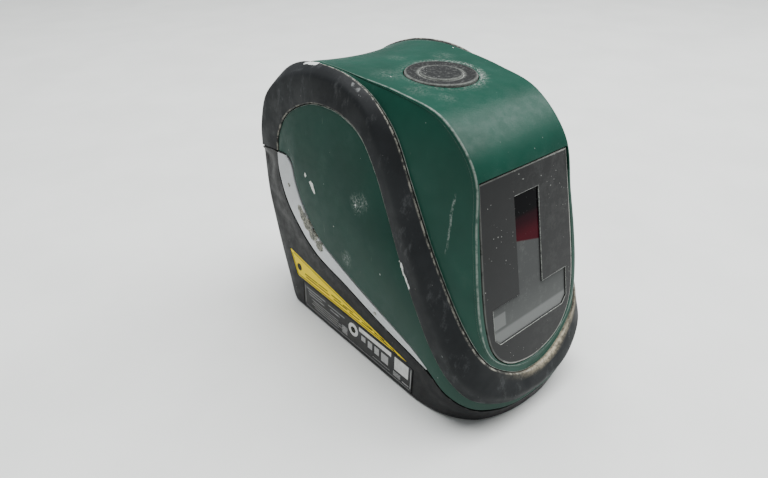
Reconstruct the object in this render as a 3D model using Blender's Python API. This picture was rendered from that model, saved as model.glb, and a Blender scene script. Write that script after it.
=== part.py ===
"""Self-levelling cross-line laser level.

A black base with a battery bay, two green side shells, a green hood with the
laser window, one rubber bumper that loops over both sides and round the front,
and a gimballed pendulum with two line lasers inside.

Sizes in this file are in millimetres and are scaled to metres when a mesh is
made.  X runs across the instrument, the laser window faces -Y, and Z is up.
The instrument stands on Z = 0.
"""
import math

import bmesh
import bpy
import numpy as np
from mathutils import Matrix, Vector

MM = 0.001

# ---------------------------------------------------------------------------
# Driving sizes
# ---------------------------------------------------------------------------
CENTRING = Vector((0.0, 0.55, 0.0))    # brings the finished box over the origin
GAP = 0.3                    # clearance between neighbouring pieces
SAMPLES_PER_STATION = 2      # mesh rows between two control stations
ROUND_SEGMENTS = 24          # sides of an ordinary round piece

BUMPER_THICKNESS = 2.5
CHANNEL_DEPTH = BUMPER_THICKNESS + 2.0 * GAP
SHELL_THICKNESS = 2.0
HOOD_THICKNESS = 2.2
HOOD_SINK = 1.1              # the hood lies this far below the bumper's edge
PANEL_SINK = 0.5             # the side shell lies this far below the bumper
PANEL_DOME = 0.8             # how far the side shell bulges
BASE_WALL = 2.0
FOOT_HEIGHT = 0.5

WINDOW_TILT = math.radians(12.3)
WINDOW_FOOT_Y = -63.5        # where the window's plane would meet the floor
WINDOW_THICKNESS = 3.4
RECESS_DEPTH = 1.8
GLASS_THICKNESS = 1.2

BUTTON_Y = -7.0
BUTTON_TOP = 106.9
BUTTON_TILT = math.radians(2.5)
BEZEL_RADIUS = 12.2
KEY_RADIUS = 7.3

PIVOT = Vector((0.0, -24.0, 82.0))
CHEEK_X = 17.5               # middle of the chassis cheeks
SWING_RADIUS = 60.5          # pivot to the underside of the pendulum
LOCK_LIFT = 1.8
LOCK_STROKE = 8.0

CELL_RADIUS = 7.1
CELL_LENGTH = 49.5
CELL_PITCH = 15.0
CELL_FIRST = Vector((0.0, 38.4, 14.8))
BAY_LEAN = math.radians(16.0)

LID_HINGE = Vector((0.0, 45.6, 7.7))
LID_HALF_WIDTH = 26.5
LID_THICKNESS = 2.0
HINGE_BARREL = 1.5
HINGE_PIN = 0.75

TRIPOD_Y = 8.0
TRIPOD_BORE = 3.1

# Control stations of the bumper, from the rear seam, over the top and down to
# the middle of the front: hood-side edge, crest, side-shell edge.
BUMPER_EDGE = [
    (27.5, 62.4, 69.0), (26.5, 62.3, 78.0), (25.0, 59.6, 90.0), (23.9, 51.5, 99.8),
    (25.2, 37.0, 106.3), (26.3, 22.0, 108.6), (26.4, 8.0, 107.9), (26.7, -4.5, 103.7),
    (27.1, -15.0, 94.6), (27.4, -23.5, 79.8), (27.9, -33.5, 62.5), (28.5, -44.5, 47.0),
    (28.2, -51.8, 38.0), (25.5, -56.4, 31.0), (20.0, -58.9, 24.9), (10.0, -60.6, 18.7),
    (0.0, -61.0, 16.6)]
BUMPER_CREST = [
    (32.0, 61.0, 69.0), (32.0, 60.0, 78.0), (31.6, 55.5, 90.0), (31.2, 45.5, 98.2),
    (30.8, 33.0, 103.6), (30.5, 20.0, 105.6), (30.6, 6.5, 104.9), (30.9, -5.5, 99.2),
    (31.4, -13.2, 88.4), (31.9, -19.8, 76.4), (32.4, -27.0, 62.8), (33.0, -36.5, 46.8),
    (33.4, -45.5, 34.2), (32.2, -52.9, 25.4), (27.6, -58.6, 18.6), (15.0, -63.0, 12.8),
    (0.0, -63.8, 11.0)]
BUMPER_SIDE = [
    (32.2, 48.4, 70.4), (32.1, 47.3, 76.6), (32.0, 42.4, 84.8), (31.9, 35.0, 90.8),
    (31.8, 24.0, 95.6), (31.8, 13.5, 97.0), (31.8, 4.5, 96.0), (31.9, -4.0, 92.0),
    (32.0, -11.0, 82.6), (32.1, -16.6, 71.0), (32.4, -23.5, 56.0), (32.8, -33.2, 39.1),
    (33.0, -41.0, 28.0), (32.0, -49.0, 19.6), (27.4, -56.2, 13.3), (15.0, -61.3, 8.6),
    (0.0, -62.6, 7.2)]

# Hood: its crease and its middle line, station by station.
HOOD_CREASE = [
    (22.0, 62.2, 69.0), (20.6, 61.8, 78.0), (19.0, 58.4, 89.4), (18.5, 50.2, 98.8),
    (20.8, 36.2, 105.7), (24.6, 20.4, 108.2), (24.5, 4.0, 107.8), (22.9, -13.0, 106.5),
    (21.8, -30.0, 102.9), (21.9, -43.4, 90.5), (23.7, -47.6, 72.5), (25.2, -51.2, 56.0),
    (25.2, -54.1, 42.5), (22.8, -56.3, 32.5), (17.6, -57.8, 25.8), (9.0, -58.9, 20.6),
    (0.0, -59.3, 18.9)]
HOOD_MIDDLE = [
    (0.0, 61.6, 69.0), (0.0, 60.4, 78.0), (0.0, 56.2, 88.0), (0.0, 48.4, 96.8),
    (0.0, 35.6, 104.4), (0.0, 20.0, 107.2), (0.0, 4.0, 107.1), (0.0, -13.0, 106.3),
    (0.0, -30.0, 103.0), (0.0, -43.6, 90.5), (0.0, -47.7, 72.5), (0.0, -51.3, 56.0),
    (0.0, -54.2, 42.5), (0.0, -56.4, 32.5), (0.0, -57.9, 25.8), (0.0, -59.0, 20.6),
    (0.0, -59.3, 18.9)]

# Lower edge of the side shell: over the top of the trim strip, down its inner
# edge to its tip, then round the front just above the base.
SHELL_LOWER = [
    (32.2, 47.6, 70.6), (32.2, 42.0, 71.0), (32.2, 38.3, 68.4), (32.2, 36.8, 61.4),
    (32.2, 33.9, 54.4), (32.2, 29.2, 47.4), (32.2, 22.2, 41.0), (32.2, 13.2, 37.0),
    (32.2, 3.0, 33.2), (32.2, -9.0, 29.3), (32.3, -20.0, 26.0), (32.5, -31.0, 23.0),
    (32.9, -40.3, 18.6), (31.9, -48.3, 13.2), (26.5, -56.0, 8.9), (14.5, -61.0, 6.3),
    (0.0, -62.1, 5.5)]

# Trim strip between the side shell and the base.
TRIM_OUTER = [
    (48.1, 69.8), (48.3, 63.0), (46.4, 55.4), (43.0, 48.7), (38.0, 43.0), (31.9, 37.7),
    (24.8, 33.5), (16.8, 31.1), (6.8, 28.9), (-13.2, 23.4), (-30.0, 19.8), (-38.6, 18.0)]
TRIM_INNER = [
    (42.6, 70.4), (39.0, 67.6), (37.4, 61.4), (34.4, 54.2), (30.4, 48.0), (25.4, 42.8),
    (19.0, 38.9), (12.0, 36.0), (3.0, 32.6), (-14.0, 27.2), (-30.2, 22.6), (-39.0, 18.6)]
TRIM_X = 32.5
TRIM_THICKNESS = 1.5

# Base: upper edge, the fold below it, and the lower edge of the side wall.
BASE_UPPER = [
    (32.0, 60.6, 68.2), (32.2, 48.9, 69.5), (32.4, 48.9, 63.0), (32.5, 46.9, 55.2),
    (32.6, 43.5, 48.4), (32.6, 38.3, 42.6), (32.6, 32.2, 37.2), (32.6, 25.0, 33.0),
    (32.6, 16.9, 30.7), (32.6, 6.8, 28.5), (32.6, -13.3, 23.0), (32.7, -30.0, 19.4),
    (32.9, -40.2, 17.2), (31.8, -48.6, 12.2), (26.6, -55.9, 8.2), (18.0, -60.0, 6.1),
    (9.0, -61.6, 5.2), (0.0, -62.0, 4.9)]
BASE_FOLD = [
    (31.0, 60.6, 66.0), (31.0, 56.0, 62.0), (31.2, 58.6, 52.0), (31.4, 55.1, 45.0),
    (31.7, 49.4, 38.4), (31.9, 41.4, 33.0), (32.0, 32.4, 28.8), (32.1, 24.0, 26.4),
    (32.2, 15.0, 24.6), (32.2, 5.0, 22.4), (32.4, -14.0, 18.0), (32.5, -30.5, 14.0),
    (32.6, -40.0, 11.0), (31.2, -48.2, 8.0), (26.2, -55.2, 5.6), (17.6, -59.4, 4.2),
    (8.8, -61.0, 3.6), (0.0, -61.4, 3.4)]
BASE_LOWER = [
    (31.0, 60.6, 62.0), (31.1, 61.0, 56.0), (31.4, 59.8, 47.0), (31.7, 57.2, 38.0),
    (32.1, 53.4, 26.0), (32.6, 48.2, 12.0), (33.0, 43.2, 0.5), (33.0, 34.0, 0.5),
    (33.0, 24.0, 0.5), (33.0, 10.0, 0.5), (33.0, -10.0, 0.5), (33.0, -28.0, 0.5),
    (32.3, -38.8, 0.5), (29.4, -47.6, 0.5), (23.8, -54.8, 0.5), (16.0, -58.6, 0.5),
    (8.0, -60.5, 0.5), (0.0, -61.0, 0.5)]
SIDE_SLOPE = 0.035           # how much the label wall leans in, per mm of height
SIDE_FOOT_X = 33.0           # half width of the label wall where it starts
SIDE_STRAIGHT_Y = -30.0      # the label wall is flat behind this

# Rear wall of the base in side view.
REAR_PROFILE = [(43.6, 0.5), (48.9, 12.0), (53.9, 26.0), (57.8, 38.0), (60.4, 47.0),
                (61.7, 57.0), (61.6, 68.5)]
REAR_CROWN_X = [0.0, 25.4, 30.4, 31.7]
REAR_CROWN = [0.6, 0.3, -0.3, -1.1]
REAR_COLUMNS = [-30.8, -29.6, -25.4, -13.0, 0.0, 13.0, 25.4, 29.6, 30.8]
LID_LOW = 5.9
LID_HIGH = 60.0
LID_CLEARANCE = 0.4

# Laser window, half outline in its own plane: across, and up the slope.
WINDOW_OUTLINE = [(21.0, 89.2), (21.9, 75.0), (22.9, 55.0), (22.7, 42.0), (20.8, 33.0),
                  (16.6, 26.6), (10.0, 22.4), (0.0, 20.6)]
SLOT_HALF_WIDTH = 5.8
SLOT_TOP = 80.8
BAR_HALF_WIDTH = 19.0
BAR_TOP = 46.8
BAR_BOTTOM = 33.4
BAR_CHAMFER = 2.6

# Flat labels on the left wall of the base: (y, z) corners.
WARNING_LABEL = [(46.0, 26.0), (41.0, 14.9), (-29.0, 14.5)]
RATING_LABEL = [(36.5, 1.8), (36.5, 13.6), (-32.0, 13.2), (-32.0, 1.8)]
LABEL_POCKET = 0.5
LABEL_CORNER = 1.4           # pocket corners reach this many gaps further out

# Places inside the base.
FLOOR_TOP = 3.0
FLOOR_SHRINK = 0.985
SCREW_PLACES = [(22.0, 36.0), (-22.0, 36.0), (17.0, -42.0), (-17.0, -42.0)]
SCREW_HEAD = 2.5
FOOT_PLACES = [(26.0, 26.0), (-26.0, 26.0), (25.0, -34.0), (-25.0, -34.0)]
PAD_RADIUS = 4.0
CHASSIS_FEET = [(14.0, -32.5), (-14.0, -12.0), (-14.0, -32.5), (14.0, -12.0)]
BOARD_POSTS = [(-11.5, -17.0), (11.5, -17.0), (-11.5, 2.5), (11.5, 2.5)]
INSERT_RADIUS = 5.0
TRIPOD_BOSS_RADIUS = 7.5
TRAY_HALF_WIDTH = 28.4
TRAY_WALL = 1.1

# Places in the levelling unit.
CHEEK_FRONT = PIVOT.y - 7.0
CHEEK_REAR = PIVOT.y + 4.5
BEARING_RADIUS = 4.0
INNER_BEARING = 2.6
MAGNET_X = 8.3
FOOT_HALF_WIDTH = 10.5
LASER_HIGH = 67.0
LASER_LOW = 40.0
LASER_BACK = 8.96            # puts the tube's and lens's weight under the pivot
SWITCH_Y = -20.0
RAMP_LEVEL = 10.0

X_AXIS = (1.0, 0.0, 0.0)
Y_AXIS = (0.0, 1.0, 0.0)
Z_AXIS = (0.0, 0.0, 1.0)


# ---------------------------------------------------------------------------
# Materials
# ---------------------------------------------------------------------------
def make_material(name, colour, roughness, metallic=0.0):
    material = bpy.data.materials.new(name)
    material.use_nodes = True
    shader = material.node_tree.nodes["Principled BSDF"]
    shader.inputs["Base Color"].default_value = (*colour, 1.0)
    shader.inputs["Roughness"].default_value = roughness
    shader.inputs["Metallic"].default_value = metallic
    return material


def make_materials():
    table = {
        "green_plastic": ((0.012, 0.085, 0.058), 0.42, 0.0),
        "rubber": ((0.028, 0.029, 0.031), 0.75, 0.0),
        "black_plastic": ((0.035, 0.036, 0.038), 0.5, 0.0),
        "window_plastic": ((0.03, 0.031, 0.033), 0.35, 0.0),
        "smoked_glass": ((0.08, 0.08, 0.085), 0.1, 0.0),
        "red_glass": ((0.12, 0.005, 0.01), 0.1, 0.0),
        "silver_trim": ((0.38, 0.39, 0.4), 0.4, 0.6),
        "yellow_label": ((0.8, 0.6, 0.04), 0.5, 0.0),
        "grey_label": ((0.05, 0.05, 0.052), 0.5, 0.0),
        "aluminium": ((0.55, 0.56, 0.58), 0.4, 1.0),
        "steel": ((0.5, 0.5, 0.52), 0.3, 1.0),
        "brass": ((0.7, 0.5, 0.22), 0.3, 1.0),
        "copper": ((0.75, 0.36, 0.2), 0.35, 1.0),
        "magnet_nickel": ((0.6, 0.58, 0.55), 0.25, 1.0),
        "circuit_green": ((0.01, 0.12, 0.05), 0.45, 0.0),
        "cell_sleeve": ((0.02, 0.05, 0.16), 0.35, 0.0),
        "wire_red": ((0.5, 0.02, 0.02), 0.5, 0.0),
        "grey_plastic": ((0.2, 0.2, 0.21), 0.5, 0.0),
    }
    return {name: make_material(name, *values) for name, values in table.items()}


# ---------------------------------------------------------------------------
# Curves
# ---------------------------------------------------------------------------
def sample_curve(points, count, mirrored_end=False):
    """Catmull-Rom curve through points, read at evenly spaced stations."""
    control = np.array(points, dtype=float)
    before = 2.0 * control[0] - control[1]
    after = 2.0 * control[-1] - control[-2]
    if mirrored_end:
        after = control[-2] * np.array([-1.0, 1.0, 1.0])
    padded = np.vstack([before, control, after])
    result = []
    for position in np.linspace(0.0, len(control) - 1.0, count):
        first = min(int(position), len(control) - 2)
        t = position - first
        p0, p1, p2, p3 = padded[first:first + 4]
        result.append(0.5 * (2.0 * p1 + (p2 - p0) * t
                             + (2.0 * p0 - 5.0 * p1 + 4.0 * p2 - p3) * t ** 2
                             + (3.0 * p1 - p0 - 3.0 * p2 + p3) * t ** 3))
    return np.array(result)


def station_count(points):
    return (len(points) - 1) * SAMPLES_PER_STATION + 1


def unit(vectors):
    length = np.linalg.norm(vectors, axis=-1, keepdims=True)
    return vectors / np.maximum(length, 1e-9)


def tangents(curve):
    """Unit direction along a curve whose last point lies on the mid-plane."""
    mirrored = curve[-2] * np.array([-1.0, 1.0, 1.0])
    padded = np.vstack([2.0 * curve[0] - curve[1], curve, mirrored])
    return unit(padded[2:] - padded[:-2])


def mirror_x(points):
    return points * np.array([-1.0, 1.0, 1.0])


def full_width(half):
    """Right half of a grid, front to back, joined to its mirror image."""
    other = mirror_x(half[::-1])
    return np.concatenate([half, other[1:]], axis=0)


# ---------------------------------------------------------------------------
# Mesh helpers
# ---------------------------------------------------------------------------
def make_object(name, vertices, faces, material, smooth_angle=35.0):
    mesh = bpy.data.meshes.new(name)
    mesh.from_pydata([(Vector(v) + CENTRING) * MM for v in vertices], [], faces)
    work = bmesh.new()
    work.from_mesh(mesh)
    bmesh.ops.remove_doubles(work, verts=work.verts, dist=0.00001)
    bmesh.ops.dissolve_degenerate(work, edges=work.edges, dist=0.000005)
    bmesh.ops.recalc_face_normals(work, faces=work.faces)
    work.to_mesh(mesh)
    work.free()
    mesh.shade_smooth()
    mesh.set_sharp_from_angle(angle=math.radians(smooth_angle))
    mesh.materials.append(material)
    obj = bpy.data.objects.new(name, mesh)
    bpy.context.scene.collection.objects.link(obj)
    return obj


def make_shell(name, outer, inner, material, pointed_end=False):
    """Closed solid between two grids of the same size.

    With pointed_end the last row is folded onto the mid-plane, so its two
    halves already touch and it needs no wall.
    """
    rows, columns = outer.shape[:2]
    vertices = np.concatenate([outer.reshape(-1, 3), inner.reshape(-1, 3)])
    offset = rows * columns
    faces = []
    for r in range(rows - 1):
        for c in range(columns - 1):
            a = r * columns + c
            quad = (a, a + 1, a + columns + 1, a + columns)
            faces.append(quad)
            faces.append(tuple(i + offset for i in reversed(quad)))
    for r in range(rows - 1):
        for c in (0, columns - 1):
            a = r * columns + c
            faces.append((a, a + columns, a + columns + offset, a + offset))
    end_rows = (0,) if pointed_end else (0, rows - 1)
    for c in range(columns - 1):
        for r in end_rows:
            a = r * columns + c
            faces.append((a, a + 1, a + 1 + offset, a + offset))
    return make_object(name, vertices, faces, material)


def make_prism(name, outline, origin, across, up, depth, material):
    """Outline in the plane (across, up), pushed by the vector depth."""
    origin, across, up, depth = (Vector(v) for v in (origin, across, up, depth))
    near = [origin + across * u + up * v for u, v in outline]
    far = [point + depth for point in near]
    count = len(outline)
    faces = [tuple(range(count)), tuple(range(2 * count - 1, count - 1, -1))]
    for i in range(count):
        j = (i + 1) % count
        faces.append((i, j, j + count, i + count))
    return make_object(name, near + far, faces, material)


def make_box(name, low, high, material):
    low, high = Vector(low), Vector(high)
    outline = [(0, 0), (high.x - low.x, 0), (high.x - low.x, high.y - low.y), (0, high.y - low.y)]
    return make_prism(name, outline, low, (1, 0, 0), (0, 1, 0), (0, 0, high.z - low.z), material)


def plane_axes(axis):
    axis = Vector(axis).normalized()
    helper = Vector((0, 0, 1)) if abs(axis.z) < 0.9 else Vector((1, 0, 0))
    first = helper.cross(axis).normalized()
    return first, axis.cross(first)


def circle(radius, segments=ROUND_SEGMENTS):
    step = 2.0 * math.pi / segments
    return [(radius * math.cos(i * step), radius * math.sin(i * step)) for i in range(segments)]


def make_disc(name, centre, axis, radius, length, material, segments=ROUND_SEGMENTS):
    """Round bar whose first face is centred on centre and which runs along axis."""
    first, second = plane_axes(axis)
    push = Vector(axis).normalized() * length
    return make_prism(name, circle(radius, segments), centre, first, second, push, material)


def make_turned(name, centre, axis, profile, material, segments=ROUND_SEGMENTS):
    """Ring or stepped bar: a closed profile of (radius, height) turned round axis."""
    axis = Vector(axis).normalized()
    first, second = plane_axes(axis)
    centre = Vector(centre)
    vertices, faces = [], []
    count = len(profile)
    for c, s in circle(1.0, segments):
        for radius, height in profile:
            vertices.append(centre + (first * c + second * s) * radius + axis * height)
    for i in range(segments):
        j = (i + 1) % segments
        for k in range(count):
            m = (k + 1) % count
            faces.append((i * count + k, j * count + k, j * count + m, i * count + m))
    return make_object(name, vertices, faces, material)


def make_ring(name, centre, axis, outer, inner, length, material, segments=ROUND_SEGMENTS):
    profile = [(outer, 0.0), (outer, length), (inner, length), (inner, 0.0)]
    return make_turned(name, centre, axis, profile, material, segments)


def make_tube(name, points, radius, material, sides=8):
    """Round wire along a path, with flat ends."""
    path = [Vector(p) for p in points]
    vertices, faces = [], []
    side = None
    for i, point in enumerate(path):
        ahead = path[min(i + 1, len(path) - 1)] - path[max(i - 1, 0)]
        ahead.normalize()
        if side is None:
            side, _ = plane_axes(ahead)
        side = (side - ahead * side.dot(ahead)).normalized()
        other = ahead.cross(side)
        for c, s in circle(radius, sides):
            vertices.append(point + side * c + other * s)
    for i in range(len(path) - 1):
        for k in range(sides):
            m = (k + 1) % sides
            faces.append((i * sides + k, i * sides + m, (i + 1) * sides + m, (i + 1) * sides + k))
    faces.append(tuple(range(sides)))
    last = (len(path) - 1) * sides
    faces.append(tuple(range(last + sides - 1, last - 1, -1)))
    return make_object(name, vertices, faces, material)


def apply_boolean(obj, tool, operation):
    """Boolean modifier on obj; the tool stays as a hidden wire guide."""
    tool.hide_render = True
    tool.display_type = "WIRE"
    tool.name = "tool_" + tool.name
    modifier = obj.modifiers.new(operation.lower() + "_" + tool.name, "BOOLEAN")
    modifier.operation = operation
    modifier.solver = "EXACT"
    modifier.object = tool
    return obj


def cut(obj, *tools):
    for tool in tools:
        apply_boolean(obj, tool, "DIFFERENCE")
    return obj


def unite(obj, *tools):
    for tool in tools:
        apply_boolean(obj, tool, "UNION")
    return obj


def set_pivot(location, piece, carried=()):
    """Origin of a moving piece on its joint's axis, and what it carries on it."""
    location = (Vector(location) + CENTRING) * MM
    for obj in (piece, *carried):
        obj.data.transform(Matrix.Translation(-location))
    piece.location = location
    for obj in carried:
        obj.parent = piece


# ---------------------------------------------------------------------------
# Outer skin
# ---------------------------------------------------------------------------
class BumperFrame:
    """Bumper curves of the right half with the directions its facets need."""

    def __init__(self):
        count = station_count(BUMPER_EDGE)
        self.edge = sample_curve(BUMPER_EDGE, count, True)
        self.crest = sample_curve(BUMPER_CREST, count, True)
        self.side = sample_curve(BUMPER_SIDE, count, True)
        along = tangents(self.crest)
        self.to_edge = unit(self.edge - self.crest)
        self.to_side = unit(self.side - self.crest)
        self.edge_normal = unit(np.cross(self.to_edge, along))
        self.side_normal = unit(np.cross(along, self.to_side))
        self.crest_normal = unit(self.edge_normal + self.side_normal)

    def below_edge(self, depth, shift=0.0):
        return self.edge - self.edge_normal * depth + self.to_edge * shift

    def below_crest(self, depth):
        return self.crest - self.crest_normal * depth

    def below_side(self, depth, shift=0.0):
        return self.side - self.side_normal * depth + self.to_side * shift


def make_bumper(frame, materials):
    """Rubber band: two loops joined round the front, one moulded piece."""
    def rows(depth):
        return np.stack([frame.below_edge(depth), frame.below_crest(depth),
                         frame.below_side(depth)], axis=1)
    outer = full_width(rows(0.0))
    inner = full_width(rows(BUMPER_THICKNESS))
    return make_shell("rubber_bumper", outer, inner, materials["rubber"])


def hood_half(frame):
    """Right half of the hood's outer surface, from the mid-plane outward."""
    count = station_count(HOOD_CREASE)
    crease = sample_curve(HOOD_CREASE, count, True)
    middle = sample_curve(HOOD_MIDDLE, count, True)
    border = frame.below_edge(HOOD_SINK, GAP)
    border[-1][0] = 0.0
    rows = []
    for share in (0.0, 0.35, 0.7):
        row = middle + (crease - middle) * share
        row[:, 2] = middle[:, 2] + (crease[:, 2] - middle[:, 2]) * share ** 2
        rows.append(row)
    rows.append(crease)
    rows.append((crease + border) / 2.0)
    rows.append(border)
    return np.stack(rows, axis=1)


def grid_normals(grid):
    """Unit normals of a grid whose first column lies on the mid-plane."""
    padded = np.concatenate([mirror_x(grid[:, 1:2]), grid], axis=1)
    across = np.empty_like(grid)
    across[:, :-1] = padded[:, 2:] - padded[:, :-2]
    across[:, -1] = grid[:, -1] - grid[:, -2]
    along = np.empty_like(grid)
    along[1:-1] = grid[2:] - grid[:-2]
    along[0] = grid[1] - grid[0]
    along[-1] = grid[-1] - grid[-2]
    return unit(np.cross(along, across))


def window_point(across, slope, depth=0.0):
    """Point on the window's plane, or depth below it."""
    y = WINDOW_FOOT_Y + slope * math.sin(WINDOW_TILT) + depth * math.cos(WINDOW_TILT)
    z = slope * math.cos(WINDOW_TILT) - depth * math.sin(WINDOW_TILT)
    return Vector((across, y, z))


def window_prism(name, outline, top, bottom, material):
    """Prism whose outline lies in the window's plane, between two depths."""
    origin = window_point(0.0, 0.0, top)
    up = (0.0, math.sin(WINDOW_TILT), math.cos(WINDOW_TILT))
    depth = window_point(0.0, 0.0, bottom) - origin
    return make_prism(name, outline, origin, (1, 0, 0), up, depth, material)


def window_outline(grow=0.0):
    samples = sample_curve([(u, v, 0.0) for u, v in WINDOW_OUTLINE], 15, True)
    right = [(u, v) for u, v, _ in samples[:-1]]
    centre = (0.0, 55.0)
    points = right + [(0.0, samples[-1][1])] + [(-u, v) for u, v in reversed(right)]
    grown = []
    for u, v in points:
        reach = math.hypot(u - centre[0], v - centre[1])
        grown.append((u + (u - centre[0]) / reach * grow, v + (v - centre[1]) / reach * grow))
    return grown


def tee_outline(grow=0.0):
    slot, bar = SLOT_HALF_WIDTH + grow, BAR_HALF_WIDTH + grow
    right = [(slot, SLOT_TOP + grow), (slot, BAR_TOP + grow), (bar, BAR_TOP + grow),
             (bar, BAR_BOTTOM + BAR_CHAMFER), (bar - BAR_CHAMFER, BAR_BOTTOM - grow)]
    return right + [(-u, v) for u, v in reversed(right)]


def button_axis():
    return Vector((0.0, -math.sin(BUTTON_TILT), math.cos(BUTTON_TILT)))


def button_point(height):
    return Vector((0.0, BUTTON_Y, BUTTON_TOP)) + button_axis() * height


def make_hood(frame, materials):
    half = hood_half(frame)
    inner_half = half - grid_normals(half) * HOOD_THICKNESS
    inner_half[:, -1] = frame.below_edge(HOOD_SINK + HOOD_THICKNESS, GAP)
    inner_half[:, 0, 0] = 0.0
    inner_half[-1, :, 0] = 0.0

    def both(grid):
        return np.concatenate([mirror_x(grid[:, :0:-1]), grid], axis=1)

    hood = make_shell("hood_cover", both(half), both(inner_half), materials["green_plastic"], True)
    for i, (x, y) in enumerate(BOARD_POSTS):
        unite(hood, make_disc(f"hood_post_{i}", (x, y, 99.3), Z_AXIS, 2.0, 6.0, materials["green_plastic"], 12))
    opening = window_prism("window_opening", window_outline(GAP), -4.0, 9.0, materials["green_plastic"])
    hole = make_disc("button_hole", button_point(-6.0), button_axis(), BEZEL_RADIUS + GAP, 12.0,
                     materials["green_plastic"], 40)
    return cut(hood, opening, hole)


def make_side_shell(frame, side, materials):
    """Side shell: the bumper's channel and the leaf-shaped panel inside it."""
    count = station_count(SHELL_LOWER)
    lower = sample_curve(SHELL_LOWER, count, True)
    panel_edge = frame.below_side(PANEL_SINK, GAP)
    width = np.linalg.norm(lower - panel_edge, axis=1, keepdims=True)
    inset = np.minimum(1.8, 0.4 * width)
    inward = unit(frame.side_normal * 0.5 + np.array([0.5, 0.0, 0.0]))
    outer = [frame.below_edge(CHANNEL_DEPTH, -1.5), frame.below_crest(CHANNEL_DEPTH),
             frame.below_side(CHANNEL_DEPTH, GAP), panel_edge]
    inner = [row - normal * SHELL_THICKNESS for row, normal in
             ((outer[0], frame.edge_normal), (outer[1], frame.crest_normal),
              (outer[2] + frame.to_side * inset, frame.side_normal),
              (outer[3] + frame.to_side * inset, inward))]
    for share in (0.25, 0.5, 0.75, 1.0):
        row = panel_edge + (lower - panel_edge) * share
        row[:, 0] += PANEL_DOME * math.sin(math.pi * share) * np.minimum(1.0, width[:, 0] / 30.0)
        outer.append(row)
        start = inner[3]
        end = lower - inward * SHELL_THICKNESS
        inside = start + (end - start) * share
        inner.append(inside)
    outer_grid, inner_grid = np.stack(outer, axis=1), np.stack(inner, axis=1)
    for grid in (outer_grid, inner_grid):
        grid[-1, :, 0] = GAP / 2.0
    if side < 0:
        outer_grid, inner_grid = mirror_x(outer_grid), mirror_x(inner_grid)
    name = "side_shell_left" if side < 0 else "side_shell_right"
    return make_shell(name, outer_grid, inner_grid, materials["green_plastic"])


def make_trim(side, materials):
    count = station_count(TRIM_OUTER)
    outer_edge = sample_curve([(TRIM_X, y, z) for y, z in TRIM_OUTER], count)
    inner_edge = sample_curve([(TRIM_X, y, z) for y, z in TRIM_INNER], count)
    face = np.stack([outer_edge, (outer_edge + inner_edge) / 2.0, inner_edge], axis=1)
    back = face - np.array([TRIM_THICKNESS, 0.0, 0.0])
    if side < 0:
        face, back = mirror_x(face), mirror_x(back)
    name = "trim_strip_left" if side < 0 else "trim_strip_right"
    return make_shell(name, face, back, materials["silver_trim"])


# ---------------------------------------------------------------------------
# Base
# ---------------------------------------------------------------------------
def label_wall_x(z):
    return SIDE_FOOT_X - SIDE_SLOPE * (z - FOOT_HEIGHT)


def base_inward(lower):
    """Horizontal directions into the base, one for each row of its side wall."""
    along = tangents(lower)
    along[:, 2] = 0.0
    inward = unit(np.cross(unit(along), np.array([0.0, 0.0, 1.0])))
    inward[lower[:, 1] > 30.0] = np.array([-1.0, 0.0, 0.0])
    return inward


def rear_y(z):
    ys, zs = zip(*REAR_PROFILE)
    return float(np.interp(z, zs, ys))


def rear_crown(x):
    return float(np.interp(abs(x), REAR_CROWN_X, REAR_CROWN))


def rear_grid(low, high, columns, depth, rows=10):
    """Grid along the rear profile, slightly crowned, depth below its surface."""
    return np.array([[(x, rear_y(z) + rear_crown(x) - depth, z) for x in columns]
                     for z in np.linspace(low, high, rows)])


def make_rear_plate(name, low, high, columns, top, bottom, material):
    """Plate that follows the rear wall between two depths."""
    return make_shell(name, rear_grid(low, high, columns, top), rear_grid(low, high, columns, bottom),
                      material)


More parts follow.
